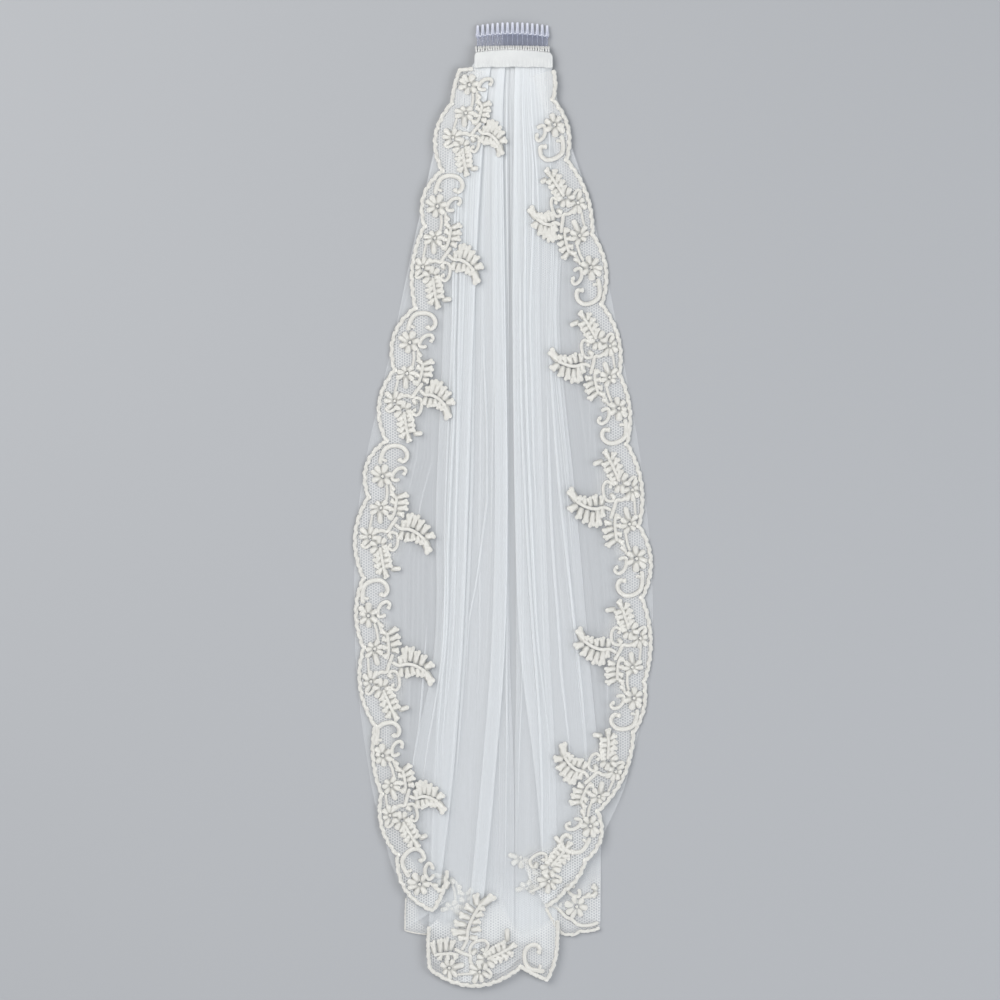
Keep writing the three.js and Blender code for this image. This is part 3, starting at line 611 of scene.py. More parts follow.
# Border points of the lace in order down each side, as x, drop and bulge, which is how far the
# lobe that follows swells out from the straight line to the next point
leftScallops = np.array([
    (-29.5, 17, 0), (-43, 18, 1.5), (-51, 52, 12), (-60, 119, 10.5), (-78, 174, 8), (-87, 256, 12),
    (-108, 318, 12), (-116, 389, 12), (-134, 445, 11.5), (-139, 526, 8), (-139, 596, 9.5),
    (-127.5, 674, 5.5), (-121, 742, 8.5), (-105, 803, 12), (-70, 858, 3), (-56, 818, 0),
])
rightScallops = np.array([
    (50, 18, 2.5), (49.5, 48, 9), (63, 108, 8), (89, 182, 9.5), (98, 252, 8.5), (116, 322, 7),
    (123.5, 392, 9), (135.5, 474, 11), (138.5, 546, 8), (141, 630, 5.5), (130, 681, 9.5), (94, 759, 10),
    (82, 808, 3.5), (62, 838, 2), (42, 854, 0),
])
# Repeats of the pattern: places of its start and end, the part that is used, how far its sprays
# reach, and the border points it lies between
leftRepeats = [
    ((-27, 2), (-58, 122), 0.17, 1, 0.8, 0, 3), ((-60, 119), (-87, 256), 0, 1, 0.9, 3, 5),
    ((-87, 256), (-116, 389), 0, 1, 0.9, 5, 7), ((-116, 389), (-139, 526), 0, 1, 0.98, 7, 9),
    ((-139, 526), (-127.5, 674), 0, 1, 0.98, 9, 11), ((-127.5, 670), (-105, 803), 0, 1, 0.86, 11, 13),
    ((-105, 803), (-25, 919), 0, 0.4, 0.7, 13, 14),
]
rightRepeats = [
    ((61, 108), (28, -30), 0, 0.33, 0.6, 0, 2), ((98, 252), (63, 108), 0, 1, 0.75, 2, 4),
    ((123.5, 392), (98, 252), 0, 1, 0.95, 4, 6), ((138.5, 546), (123.5, 392), 0, 1, 1, 6, 8),
    ((130, 681), (138.5, 546), 0, 1, 1, 8, 10), ((75, 806), (127, 682), 0, 1, 0.95, 10, 12),
    ((-41, 874), (82, 808), 0.5, 1, 1, 12, 14),
]
repeatLong = 140.0
# Inner edge of the net ground: share of the way along a repeat, and distance in
groundOutline = np.array([
    (0, 20), (0.08, 28), (0.16, 28), (0.26, 25), (0.36, 32), (0.46, 36), (0.54, 40), (0.62, 46),
    (0.7, 46), (0.78, 40), (0.86, 36), (0.93, 28), (1, 20),
])

# The pattern of one repeat, as distances along it and in from the line of its cusps.
# Leaves and petals: along and in at their foot, along and in at their tip, width
leafChart = np.array([
    (33.1, 1.4, 24.3, 2.7, 6.4), (33.5, -0.7, 27.1, -6.6, 5.5), (36, -1.4, 32.6, -10.3, 4.5),
    (37.8, -0.5, 42, -7.7, 4.9), (38.6, 1.2, 46.7, 0.9, 5.5), (37.6, 3.8, 41.8, 9.1, 5.3),
    (34.9, 3.8, 31.9, 10.1, 4.9), (43.5, 10.9, 47.6, 15.4, 3.8), (65.7, 4, 62.1, -0.4, 4.5),
    (64.9, 5.5, 59.9, 9.6, 4.9), (66.9, 6.9, 65.7, 13, 4.5), (68.9, 6.7, 72.7, 12.4, 4.9),
    (71, 4.5, 82.6, 7, 5.1), (69.7, 3, 74.6, -4, 4.5), (67, 2.6, 68.1, -5.9, 4.5),
    (54.4, 20, 49.6, 29.8, 4.7), (60, 20.9, 56.9, 31.2, 4.7), (65.5, 21.6, 63, 31.7, 4.7),
    (69.8, 22, 71, 29.4, 4.5), (54.8, 18.1, 50.6, 12.4, 4.3), (61.1, 18.7, 58.2, 13.6, 4.1),
    (67.6, 18.9, 66.7, 13.1, 4.1), (73.6, 19, 75.8, 13.2, 4.3), (84.7, 30.3, 76, 30.6, 4.7),
    (82.9, 34.9, 68.1, 35.8, 5.8), (81.5, 40.1, 68.6, 42.9, 5.3), (83.9, 45.4, 72.5, 48.9, 5.3),
    (86.3, 50.6, 76.8, 55.6, 5.3), (88.8, 54.8, 85.5, 63.8, 5.8), (87.3, 30.8, 95.8, 28.9, 4.7),
    (87.5, 36.2, 96.9, 36.7, 4.9), (87.2, 41.6, 95.1, 42.6, 4.7), (89.1, 46.7, 96.4, 48.3, 4.9),
    (91.4, 52, 97.4, 52.2, 4.3), (92.6, 54.9, 104.3, 61.3, 6.6), (96.5, 20.9, 92.3, 16.7, 4.3),
    (96.7, -3.2, 91.5, -11.3, 5.1), (95.8, -1.4, 88.2, -1.3, 4.9), (96.3, 0.3, 89.3, 5.4, 4.9),
    (98.8, -3.2, 99.9, -11.3, 4.5), (100.9, -2.5, 107, -6.6, 4.5), (99.3, 0.8, 97.8, 6.7, 4.5),
    (103.5, 9.1, 96.2, 7.6, 5.3), (103.5, 11.2, 97.6, 14.6, 4.9), (104.9, 7.2, 104.2, 0.5, 4.9),
    (107.3, 7.9, 113.1, 2.5, 5.3), (105.9, 12.2, 106, 17.8, 4.7), (109.4, 11.5, 117.1, 7.5, 4.7),
    (116.2, 13, 122.2, 7.5, 4.9), (121.7, 14.5, 127.9, 9.5, 4.9), (127.1, 16.2, 133.6, 12.6, 4.7),
    (110.7, 13.8, 108.2, 19, 4.5), (114.7, 15.6, 111.6, 21.5, 4.9), (119.9, 16.8, 117.1, 24, 4.9),
    (125.1, 18.3, 122.3, 25.7, 4.7), (128.8, 18.9, 136.3, 22.5, 4.9), (126.9, 25.3, 124.6, 34.6, 4.4),
])
sprayRows = np.r_[15:35, 46:56]  # the leaves along the stems, each worked as three lobes
# Cords: half width, then points along and in
cordChart = [
    (1.9, [(24.6, -2.7), (19.8, -3.2), (11.5, -1.9), (6.3, 1.3), (3.3, 8.4), (3.7, 16.1), (8, 21.3),
           (13.4, 22.4), (17.4, 19.4), (16.8, 15.2)]),
    (1.4, [(18.7, -2), (19.6, 1.4), (18.7, 3.6)]),
    (1.6, [(30, 22), (26.8, 23.5), (24.1, 20.7), (25.9, 15.4), (30.9, 11.8), (36.7, 11.5), (37.6, 15.1),
           (35.9, 19.1)]),
    (1.2, [(43.1, 6.5), (50.4, 8.5), (58.9, 9.1), (62.5, 8.4)]),
    (1.1, [(39.8, 10.5), (45.5, 11.6), (50.7, 13.1), (52.7, 17.6)]),
    (1.4, [(78.8, 16.6), (70.9, 18.9), (61.6, 19.2), (53, 18.7)]),
    (1.1, [(75.4, -2.3), (82.5, -2.5), (89.6, -2.8)]),
    (1.6, [(92.9, 3), (90, 9.6), (89.9, 15), (83.7, 18.1), (76.9, 21.5), (73.7, 23.2)]),
    (1.5, [(81.3, 21.1), (84.8, 28.2), (84.2, 36.8), (86.7, 45.8), (92.7, 55.7)]),
    (1.4, [(91.5, 16.5), (89.9, 20.9), (91.5, 25.4), (97.3, 27.5), (103.9, 27), (107.7, 23.5), (105.8, 19.3),
           (102.3, 20.7)]),
    (1.4, [(106.6, -9.3), (109.7, -4.5), (106.5, 0.2), (102.4, 1.3)]),
    (1.4, [(106.4, 10.3), (114.6, 13.2), (122.7, 16.2), (130.8, 19.7)]),
]
# Beads: along, in, radius
beadChart = [
    (17, 15.6, 2.6), (29.8, 22, 2.2), (102.8, 20.3, 2.0), (35.9, 1, 1.6), (67.6, 4.8, 1.6), (98, -1.5, 1.6),
]

laceSizes = {
    "borderHalf": 2.0, "borderHigh": 0.85, "borderLift": 0.6, "borderStep": 0.8, "bumpLong": 5.5,
    "picotLong": 9.0, "picotDeep": 1.0, "fullness": 0.8, "inset": 3.6, "sprayFrom": 20.0, "sprayReach": 65.0,
    "leafFull": 1.1, "leafLong": 1.1, "leafHigh": 0.6, "leafLift": 0.5, "groove": 0.5,
    "ringStep": 0.9, "cordFull": 1.2, "cordHigh": 0.62, "beadLift": 0.75, "edgeLift": 0.3,
    "netLift": 0.1, "netStep": 1.2, "underLayer": 2, "underDeep": 1.0,
    "padWide": 1.3, "padLong": 0.82, "padLift": 0.32, "padHigh": 0.18,
    # lobes of a spray's leaf: foot along it and aside, tip along it and aside, width
    "lobes": ((-0.05, 0, 0.62, 0, 0.86), (0.36, 0.07, 1.0, 0.33, 0.72), (0.32, -0.07, 0.9, -0.35, 0.72)),
}


def borderLine(scallops, outward, spacing):
    # half-sine lobes on their chords, with small waves along them; outward is -1 or 1
    pieces = []
    for a, b in zip(scallops[:-1], scallops[1:]):
        chord = b[:2] - a[:2]
        long = np.hypot(*chord)
        way = np.array([chord[1], -chord[0]]) / long * outward
        share = np.arange(0, 1, 1 / max(8, int(long / 1.2)))[:, None]
        waves = max(1, round(long / laceSizes["picotLong"]))
        swell = a[2] * np.sin(np.pi * share) ** laceSizes["fullness"]
        picots = np.abs(np.sin(np.pi * share * waves)) - 0.5
        swell = swell + laceSizes["picotDeep"] * picots * ease(0, 4, a[2])
        pieces.append(a[:2] + chord * share + way * swell)
    pieces.append(scallops[-1:, :2])
    return evenly(np.concatenate(pieces), spacing)


def repeatPlace(start, end, reach, lean, border=None):
    # rule that takes a distance along the pattern and one in from its cusps to x and drop;
    # beyond sprayFrom the sprays are made longer or shorter by reach, and lean along it;
    # what would cross the border is held back by an inset
    start, end = np.array(start, float), np.array(end, float)
    way = (end - start) / repeatLong
    unit = way / np.hypot(*way)
    inward = np.array([unit[1], -unit[0]])
    near, far = laceSizes["sprayFrom"], laceSizes["sprayReach"]
    slope = (far * reach - near) / (far - near)
    if border is None:
        walk, room = np.array([0, repeatLong]), np.array([99.0, 99.0])
    else:
        walk = (border - start) @ way / (way @ way)
        order = np.argsort(walk)
        walk, room = walk[order], (-(border - start) @ inward - laceSizes["inset"])[order]

    def place(along, into):
        along, into = np.asarray(along, float), np.asarray(into, float)
        into = np.maximum(into, -np.interp(along, walk, room))
        beyond = np.maximum(into - near, 0)
        depth = np.minimum(into, near) + beyond * slope
        return start + way * (along + lean * beyond)[..., None] + inward * depth[..., None]

    return place


def onLace(flat, height, lift):  # points of a plan line set on the lace, a little above its ground
    flat = np.asarray(flat, float)
    z = height(flat[..., 0], flat[..., 1]) + lift
    return np.stack([flat[..., 0], bandFrontY - flat[..., 1], z], -1)


# Along a leaf from foot to tip: share of its length, of its width, and of its arch
leafShare = np.array([0, 0.15, 0.36, 0.6, 0.8, 0.94, 1.0])
leafWidth = np.array([0.18, 0.42, 0.72, 0.96, 1.0, 0.66, 0.12])
leafArch = np.array([0.2, 0.5, 0.8, 1.0, 0.95, 0.6, 0.15])
padShare = np.array([-0.1, 0.02, 0.25, 0.5, 0.75, 0.93, 1.0])
padWidth = np.array([0.3, 0.75, 0.95, 1.0, 0.9, 0.55, 0.15])


def addLeaves(heap, foot, tip, wide, height, lift):
    # leaves and petals: short cords, widest near the tip, arched and grooved along their length
    if not len(foot):
        return
    flat = foot[:, None] + (tip - foot)[:, None] * leafShare[None, :, None]
    paths = onLace(flat, height, lift + 0.5 * leafArch[None, :])
    half = leafWidth[None] * np.broadcast_to(wide, len(foot))[:, None] / 2
    high = 0.15 + laceSizes["leafHigh"] * leafArch[None] + 0 * half
    heap.add(*cordMesh(paths, half, high, 10, groove=laceSizes["groove"]))


def addPads(heap, foot, tip, wide, height):
    # closely stitched patches under the leaves, so that a cluster has no gaps; they are coloured darker as
    # painted shade between the leaves
    reach = (tip - foot) * laceSizes["padLong"]
    paths = onLace(foot[:, None] + reach[:, None] * padShare[None, :, None], height, laceSizes["padLift"])
    half = padWidth[None] * wide[:, None] * laceSizes["padWide"] / 2
    heap.add(*cordMesh(paths, half, laceSizes["padHigh"] + 0 * half), 0.0)


def addMotif(heap, place, low, high, height, keep=None):
    # one repeat of the pattern, only its parts between two places along it
    def inside(along, flat):
        ok = (along >= low - 1) & (along <= high + 1)
        return ok if keep is None else ok & keep(flat)

    foot, tip = place(leafChart[:, 0], leafChart[:, 1]), place(leafChart[:, 2], leafChart[:, 3])
    tip = foot + (tip - foot) * laceSizes["leafLong"]
    ok = inside(leafChart[:, 0], foot) & inside(leafChart[:, 2], tip)
    if ok.any():
        lift = laceSizes["leafLift"]
        spray = np.isin(np.arange(len(leafChart)), sprayRows)
        single, lobed, long = ok & ~spray, ok & spray, tip - foot
        wide = leafChart[:, 4] * laceSizes["leafFull"]
        addLeaves(heap, foot[single], tip[single], wide[single], height, lift)
        across = np.stack([-long[:, 1], long[:, 0]], -1) / np.maximum(np.hypot(*long.T), 1e-6)[:, None]
        aside = across * wide[:, None]
        for begin, beginAside, end, endAside, full in laceSizes["lobes"]:
            lobeFoot = foot + begin * long + beginAside * aside
            lobeTip = foot + end * long + endAside * aside
            addLeaves(heap, lobeFoot[lobed], lobeTip[lobed], full * wide[lobed], height, lift)
        addPads(heap, foot[ok], tip[ok], leafChart[ok, 4], height)
    for half, knots in cordChart:
        knots = np.array(knots, float)
        flat = place(knots[:, 0], knots[:, 1])
        if inside(knots[:, 0], flat).all():
            line = smoothLine(flat, laceSizes["ringStep"])
            addCord(heap, line, half * laceSizes["cordFull"], height, laceSizes["leafLift"])
    for along, into, radius in beadChart:
        centre = place(np.array([along]), np.array([into]))
        if inside(np.array([along]), centre)[0]:
            foot, tip = centre - [radius, 0], centre + [radius, 0]
            addLeaves(heap, foot, tip, 2 * radius, height, laceSizes["beadLift"])


def addCord(heap, line, half, height, lift):
    # a thinner cord along a line, slightly twisted, its ends drawn to a point
    path = onLace(line, height, lift)[None]
    taper = np.ones(path.shape[1])
    taper[[0, -1]], taper[[1, -2]] = 0.35, 0.8
    heap.add(*cordMesh(path, half * taper[None], laceSizes["cordHigh"] * taper[None], 8, 0.08))


def addBorder(heap, line, height, size=1.0):
    # the heavy cord round the edge, twisted, with a bump every few millimetres
    path = onLace(line, height, laceSizes["borderLift"])[None]
    walk = laceSizes["borderStep"] * np.arange(path.shape[1])
    bumps = np.abs(np.sin(np.pi * walk / laceSizes["bumpLong"]))
    half = laceSizes["borderHalf"] * (0.84 + 0.26 * bumps + 0.05 * np.sin(walk * 0.47 + 1))
    half[[0, -1]] = 0.4
    high = laceSizes["borderHigh"] * (0.85 + 0.25 * bumps)
    heap.add(*cordMesh(path, size * half[None], size * high[None], 10, 0.08, 3.4))


def netGrid(heap, outer, inner, height, columns=18):
    # the net ground: straight threads from the border line to the inner line, fading out there
    share = np.linspace(0, 1, columns)[None, :, None]
    flat = outer[:, None] * (1 - share) + inner[:, None] * share
    points = onLace(flat, height, laceSizes["netLift"])
    quads = gridFaces(len(outer), columns)
    a, b, c = (points.reshape(-1, 3)[quads[0][i]] for i in (0, 1, 2))
    if np.cross(b - a, c - a)[2] < 0:
        quads = quads[:, ::-1]
    fade = np.broadcast_to(1 - ease(0.62, 1, share[..., 0]), flat.shape[:2])
    heap.add(points.reshape(-1, 3), quads.tolist(), flat.reshape(-1, 2), fade.ravel())


def sideStrip(node, scallops, repeats, keep):
    # edging of one side: the border cord, and for each repeat its pattern and the net ground,
    # which runs from the border in to groundOutline
    outward = -1 if scallops[0, 0] < 0 else 1
    cords, ground = Heap(), Heap()
    addBorder(cords, borderLine(scallops, outward, laceSizes["borderStep"]), laceZ)
    for start, end, low, high, reach, first, last in repeats:
        outer = borderLine(scallops[first:last + 1], outward, laceSizes["netStep"])
        place = repeatPlace(start, end, reach, 0, outer)
        addMotif(cords, place, low * repeatLong, high * repeatLong, laceZ, keep)
        way = np.array(end, float) - start
        along = np.clip((outer - start) @ way / (way @ way), min(low, 0.1), max(high, 0.62))
        inner = place(along * repeatLong, np.interp(along, *groundOutline.T) * reach ** 2)
        netGrid(ground, outer, inner, laceZ)
    return [cords.piece(node + "_cords", laceCord, "lace", [node]),
            ground.piece(node + "_cords_net", laceNet, "lace", (), "cloth")]


laceCord = cordPaint(laceLook)
laceNet = groundPaint(laceLook)
laceStops = {"leftDrop": 868, "rightX": 24}  # folds cover the pattern beyond these places
lace = sideStrip("lace_left", leftScallops, leftRepeats, lambda flat: flat[..., 1] < laceStops["leftDrop"])
lace += sideStrip("lace_right", rightScallops, rightRepeats, lambda flat: flat[..., 0] > laceStops["rightX"])

# Lace on the three folds of the hem: layer it lies on, border points, inner line, size of the
# border cord, repeats of the pattern (start, end, part used, reach, lean), the same for those
# that show through from below, and plain cords along folded edges
hemPieces = {
    "centre": {
        "layer": 5,
        "scallops": [(-73.5, 874, 1.5), (-73, 916, 18.5), (17.5, 914, 1), (44, 927.5, 2.5), (54, 890, 0.5),
                     (54.5, 868, 0)],
        "inner": [(-64, 866), (-54, 869), (-42, 861), (-38, 851), (-26, 845), (-16, 838), (-4, 832), (4, 858),
                  (10, 866), (22, 868), (38, 868), (50, 866)],
        "border": 1.0,
        "repeats": [((-120, 926), (17.5, 915), 0, 1, 1.2, 0.35), ((17.5, 914), (157, 926), 0, 0.2, 0.95, 0)],
        "under": [((14, 770), (24, 910), 0.24, 0.52, 0.8, 0), ((-60, 790), (-52, 930), 0.24, 0.52, 0.8, 0)],
    },
    "left": {
        "layer": 2,
        "scallops": [(-97, 846, 0.4), (-98, 879, 0.6), (-76, 883, 0)],
        "inner": [(-90, 848), (-84, 852), (-80, 866), (-76, 878)],
        "border": 0.35,
    },
    "right": {
        "layer": 2,
        "scallops": [(43, 856, 0.5), (56, 879, 4), (77, 879.5, 1.5), (97, 876, 0)],
        "inner": [(56, 850), (62, 846), (68, 838), (76, 826), (88, 812), (98, 806)],
        "border": 0.8,
        "repeats": [((38, 852), (176, 868), 0.14, 0.42, 0.6, 0)],
        "cords": [(1.8, [(42, 854), (53, 855.5), (62.6, 865), (69, 868), (75, 873), (85, 874), (96, 871)])],
    },
}


def addHem(node, row):
    # lace on one fold of the hem, made as on the sides, but flat on its own layer of the cloth
    def height(x, drop):
        return layerZ(row["layer"], x, drop) + layers["laceLift"]

    def beneath(x, drop):
        return layerZ(laceSizes["underLayer"], x, drop) - laceSizes["underDeep"]

    def keep(flat):
        return (flat[..., 0] > low) & (flat[..., 0] < high)

    def repeat(heights, start, end, first, last, reach, lean, kept=None):
        place = repeatPlace(start, end, reach, lean)
        addMotif(cords, place, first * repeatLong, last * repeatLong, heights, kept)

    scallops = np.array(row["scallops"], float)
    cords, ground = Heap(), Heap()
    line = borderLine(scallops, -1, laceSizes["borderStep"])
    addBorder(cords, line, height, row["border"])
    netGrid(ground, line, evenly(row["inner"], count=len(line)), height)
    low, high = scallops[:, 0].min() + 2, scallops[:, 0].max() - 2
    for part in row.get("repeats", []):
        repeat(height, *part, keep)
    for part in row.get("under", []):
        repeat(beneath, *part)
    for half, knots in row.get("cords", []):
        addCord(cords, smoothLine(knots, laceSizes["ringStep"]), half, height, laceSizes["edgeLift"])
    return [cords.piece(node + "_cords", laceCord, "lace", [node]),
            ground.piece(node + "_net", laceNet, "lace", (), "cloth")]


for name, row in hemPieces.items():
    lace += addHem("lace_hem_" + name, row)

bandLook = {
    "left": -28.5, "right": 49.0, "slope": 3.0, "deep": 16.0, "wall": 1.0, "inside": 6.2, "pucker": 0.3,
    "columns": 170, "outerRing": 44, "innerRing": 40, "crown": 3.2, "crownMiddle": 9.5, "crownHalf": 36.0,
    "lump": 0.45,
}


def bandCrown(x):  # how far the band's front edge bows towards the comb
    away = (x - bandLook["crownMiddle"]) / bandLook["crownHalf"]
    return bandLook["crown"] * np.maximum(0, 1 - away ** 2)


def ribbonBand(look):
    # ribbon folded over the gathered cloth: a rounded C carried across, puckered at its edge
    high = look["inside"] + 2 * look["wall"]
    deep, wall = look["deep"], look["wall"]
    outer = [(deep, 0), (8, 0), (2.4, 0), (0.7, 0.5), (0, 2), (0, high - 2), (0.7, high - 0.5), (2.4, high),
             (8, high), (deep, high)]
    inside = [(deep, high - wall), (8, high - wall), (3, high - wall), (1.4, high - wall - 0.8),
              (1, high - wall - 2), (1, wall + 2), (1.4, wall + 0.8), (3, wall), (8, wall), (deep, wall)]
    profile = np.concatenate([evenly(outer, count=look["outerRing"]),
                              evenly(inside, count=look["innerRing"])])
    share = np.linspace(0, 1, look["columns"])[:, None]
    back, z = (np.repeat(profile[None, :, k], len(share), axis=0) for k in (0, 1))
    # the right end slopes inwards towards the comb, and both corners there are rounded
    corner = look["slope"] * (1 - ease(0, 5, back))
    x = mix(look["left"] + 0.5 * corner, look["right"] + 0.6 - corner, share)
    top = ease(high * 0.4, high, z)
    folds = 0.6 * np.sin(share * 2 * np.pi * 23 + 1) + 0.4 * np.sin(share * 2 * np.pi * 41 + 2)
    slack = np.sin(share * 2 * np.pi * 3.3 + 0.6) + 0.6 * np.sin(share * 2 * np.pi * 7.7)
    z = z + look["pucker"] * folds * ease(3, 16, back) * top
    edge = back + 0.25 * slack * ease(10, 16, back)
    crown = (bandCrown(x) + look["lump"] * np.abs(np.sin(x * 1.27))) * (1 - ease(0, 6, back))
    y = bandFrontY - edge + crown
    points = np.stack([x, y, np.maximum(z, 0.02) + archZ(x)], -1)
    rows, columns = x.shape
    faces = gridFaces(rows, columns, closed=True)[:, [0, 3, 2, 1]].tolist()
    last = (rows - 1) * columns
    pairs = np.arange(look["innerRing"] - 1)
    ends = np.stack([pairs, pairs + 1, columns - 2 - pairs, columns - 1 - pairs], -1)
    middle = list(range(look["innerRing"] - 1, columns - look["innerRing"] + 1))
    faces += ends.tolist() + (ends[:, ::-1] + last).tolist() + [middle, [k + last for k in middle[::-1]]]
    uv = np.stack([x, np.broadcast_to(walked(profile), x.shape)], -1)
    return addPiece("heading_ribbon", points.reshape(-1, 3), faces, ribbonPaint(ribbonLook),
                    uv.reshape(-1, 2), "cloth", {}, ["heading_band"])


band = ribbonBand(bandLook)

combShape = {
    "left": -26.5, "right": 45.5, "middle": 9.5, "half": 36.0, "teeth": 15, "posts": 15,
    "tipY": 481.95, "webY": 470.95, "railY": 456.4, "backY": 452.5,
    "toothWide": 3.1, "baseWide": 4.8, "tipWide": 2.5, "toothThick": 2.0, "ribWide": 0.9, "ribThick": 1.5,
    "webThick": 1.1, "webColumns": 281, "webRows": 16, "scallop": 1.5, "seat": 3.4, "bow": 2.6, "tipDip": 2.2,
}


def toothPlaces(shape):  # x of each tooth, and the distance between them
    pitch = (shape["right"] - shape["left"] - shape["tipWide"]) / (shape["teeth"] - 1)
    return shape["left"] + shape["tipWide"] / 2 + pitch * np.arange(shape["teeth"]), pitch


def clearComb(shape):
    # teeth run down through the web as ribs, the web's edge dips between them, and a rail crosses it
    heap = Heap()
    toothX, pitch = toothPlaces(shape)
    tip, web, rail, back = (shape[name] for name in ("tipY", "webY", "railY", "backY"))

    def bowed(x, y, lift=0.0):  # set in the comb's arch, the tips a little lower
        reach = np.maximum(0, y - web) / (tip - web)
        z = shape["seat"] + archZ(x) - shape["tipDip"] * reach ** 2 + lift
        out = (y - back) / (tip - back)
        drawn = shape["bow"] * ((x - shape["middle"]) / shape["half"]) ** 2 * ease(0, 0.5, out)
        return np.stack([x, y - drawn, z], -1)

    knots = [rail - 0.6, web - 3, web - 0.5, web + 0.6, web + 4,
             tip - 1.2, tip - 0.7, tip - 0.3, tip - 0.1, tip]
    wides = [shape["ribWide"], shape["ribWide"] * 1.15, shape["baseWide"] * 0.9, shape["baseWide"],
             shape["toothWide"] * 1.1, shape["tipWide"], shape["tipWide"] * 0.9, shape["tipWide"] * 0.66,
             shape["tipWide"] * 0.4, 0.3]
    thicks = [shape["ribThick"]] * 2 + [shape["toothThick"]] * 3 + [1.8, 1.6, 1.1, 0.7, 0.3]
    y = np.concatenate([np.linspace(knots[0], knots[-6], 30), knots[-5:]])
    x = toothX[:, None] + 0 * y[None]
    half = np.interp(y, knots, wides) / 2
    high = np.interp(y, knots, thicks) / 2
    # share of the tooth colour along a tooth: partly its thickness, and painted highlight at the web's edge
    # and growing towards the tip
    thickAndGlint = 0.35 + 0.25 * ease(web - 1.5, web, y) + 0.4 * ease(web + 2, tip - 3, y)
    points, faces, uv = cordMesh(bowed(x, y[None] + 0 * x), half[None] + 0 * x, high[None] + 0 * x, 12)
    ring = np.repeat(thickAndGlint[1:-1], 12)
    heap.add(points, faces, uv, np.tile(np.concatenate([ring, thickAndGlint[[0, -1]]]), shape["teeth"]))

    columns, rows = shape["webColumns"], shape["webRows"]
    across = np.linspace(shape["left"] + 0.5, shape["right"] - 0.5, columns)
    wave = np.abs(np.cos(np.pi * (across - toothX[0]) / pitch))
    edge = web - 1.2 + shape["scallop"] * wave
    share = np.linspace(0, 1, rows)
    foot = rail - 0.5
    yy = foot + (edge[:, None] - foot) * share[None]
    xx = across[:, None] + 0 * yy
    thick = shape["webThick"] / 2
    sheetUp, sheetDown = bowed(xx, yy, thick), bowed(xx, yy, -thick)
    plate = np.concatenate([sheetUp, sheetDown[:, ::-1]], axis=1)  # a flat tube, its ends closed
    ring = 2 * rows
    quads = gridFaces(columns, ring, closed=True)[:, [0, 3, 2, 1]].tolist()
    ends = [[k, k + 1, ring - 2 - k, ring - 1 - k] for k in range(rows - 1)]
    last = (columns - 1) * ring
    quads += ends + [[last + k for k in quad[::-1]] for quad in ends]
    heap.add(plate.reshape(-1, 3), quads, np.stack([plate[..., 0], plate[..., 1]], -1).reshape(-1, 2), 0.0)

    def bar(y, lift, half, high):  # a rod across the comb
        path = bowed(across, y, lift)[None]
        heap.add(*cordMesh(path, np.full((1, columns), half), np.full((1, columns), high)))

    # the rods take the full tooth colour and the posts 0.6 of it: partly their thickness, partly painted
    # highlight
    bar(edge, 0.1, 0.5, 0.75)
    bar(rail + 0 * across, 0.0, 1.0, 0.9)
    bar(back + 0.4 + 0 * across, 0.0, 0.55, 0.9)
    postX = np.linspace(toothX[0], toothX[-1], shape["posts"])
    y = np.linspace(back, rail, 6)
    posts = bowed(postX[:, None] + 0 * y, y[None] + 0 * postX[:, None])
    heap.add(*cordMesh(posts, np.full(posts.shape[:2], 0.45), np.full(posts.shape[:2], 0.6)), 0.6)
    return heap.piece("comb_clear", combPaint(combLook), "clear_plastic", ["comb"])


clearComb(combShape)

stitchLook = {"half": 1.15, "railY": 456.9, "pair": 2.35, "seed": 3}


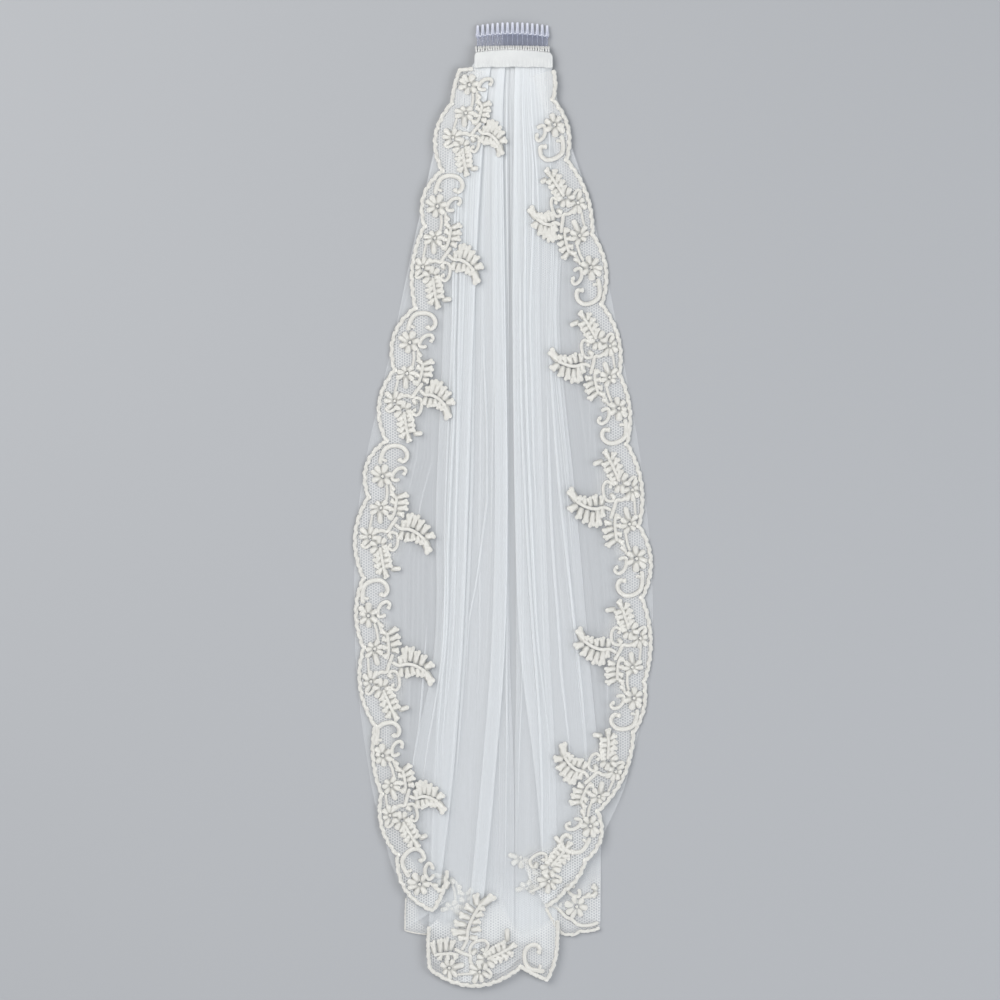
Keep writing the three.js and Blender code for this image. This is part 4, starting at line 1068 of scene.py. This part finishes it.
def whipStitches(look):
    # pairs of thread loops from the ribbon over the comb's rail, a small gap between the pairs
    rng = np.random.default_rng(look["seed"])
    middle, _ = toothPlaces(combShape)
    x = np.concatenate([middle - look["pair"] / 2, middle + look["pair"] / 2])
    x = x + rng.uniform(-0.25, 0.25, len(x))
    lean = rng.uniform(-0.8, 0.8, len(x))
    t = np.linspace(0, 1, 22)
    start = bandFrontY + 0.7 * bandCrown(x) - rng.uniform(0.2, 0.9, len(x))
    y = mix(start[:, None], look["railY"], np.clip(t * 1.15, 0, 1))
    top = np.interp(t, [0, 0.15, 0.45, 0.8, 0.93, 1], [8.2, 9.0, 7.8, 5.4, 4.2, 2.9])
    drop = np.interp(t, [0, 0.85, 1], [0, 0, 1])
    xs = x[:, None] + lean[:, None] * (t - 0.5)[None]
    paths = np.stack([xs, y - 0.6 * drop, top + archZ(xs)], -1)
    taper = mix(0.82, 1.25, ease(0.35, 0.7, t)) + 0 * xs
    taper[:, [0, -1]] = 0.5
    heap = Heap()
    heap.add(*cordMesh(paths, look["half"] * taper, look["half"] * taper, 6, 0.1, 1.2))
    return heap.piece("whip_stitches", threadPaint(threadLook), "ribbon")


stitches = whipStitches(stitchLook)

floorLook = {"colour": (0.36, 0.37, 0.385), "size": 12.0, "depth": -0.0004}


def addFloor(look):  # plain pale floor with a faint unevenness
    half = look["size"] / 2
    mesh = bpy.data.meshes.new("floor")
    corners = [(x, y, look["depth"]) for x, y in ((-half, -half), (half, -half), (half, half), (-half, half))]
    mesh.from_pydata(corners, [], [(0, 1, 2, 3)])
    floor = addObject("floor", mesh)
    paint = Paint("paleFloor")
    lighter = tuple(c * 1.05 for c in look["colour"])
    colour = paint.blend(paint.noise(0.9), look["colour"], lighter)
    mesh.materials.append(paint.close({"Base Color": colour, "Roughness": 0.8}))


addFloor(floorLook)

lightLook = [  # name, place, size, power, colour
    ("key", (-1.2, 0.8, 2.0), 1.8, 46.0, (1.0, 0.985, 0.965)),
    ("fill", (1.9, -0.4, 1.9), 1.6, 32.0, (0.95, 0.97, 1.0)),
    ("foot", (0.2, -2.2, 1.9), 1.4, 14.0, (1.0, 1.0, 1.0)),
]
studioLook = {"colour": (0.82, 0.85, 0.9), "strength": 0.45}


def addLights(rows, studio):  # soft area lights turned to the middle of the veil, and a plain sky
    for name, place, size, power, colour in rows:
        data = bpy.data.lights.new(name, "AREA")
        data.size, data.energy, data.color = size, power, colour
        light = addObject(name, data)
        light.location = place
        light.rotation_euler = light.location.to_track_quat("Z", "Y").to_euler()
    world = bpy.data.worlds.new("studio")
    bpy.context.scene.world = world
    world.use_nodes = True
    back = world.node_tree.nodes["Background"]
    back.inputs[0].default_value = (*studio["colour"], 1)
    back.inputs[1].default_value = studio["strength"]


addLights(lightLook, studioLook)
bpy.context.scene.view_settings.view_transform = "Standard"
bpy.context.scene.cycles.transparent_max_bounces = 48  # enough for all the layers of net

print("done")
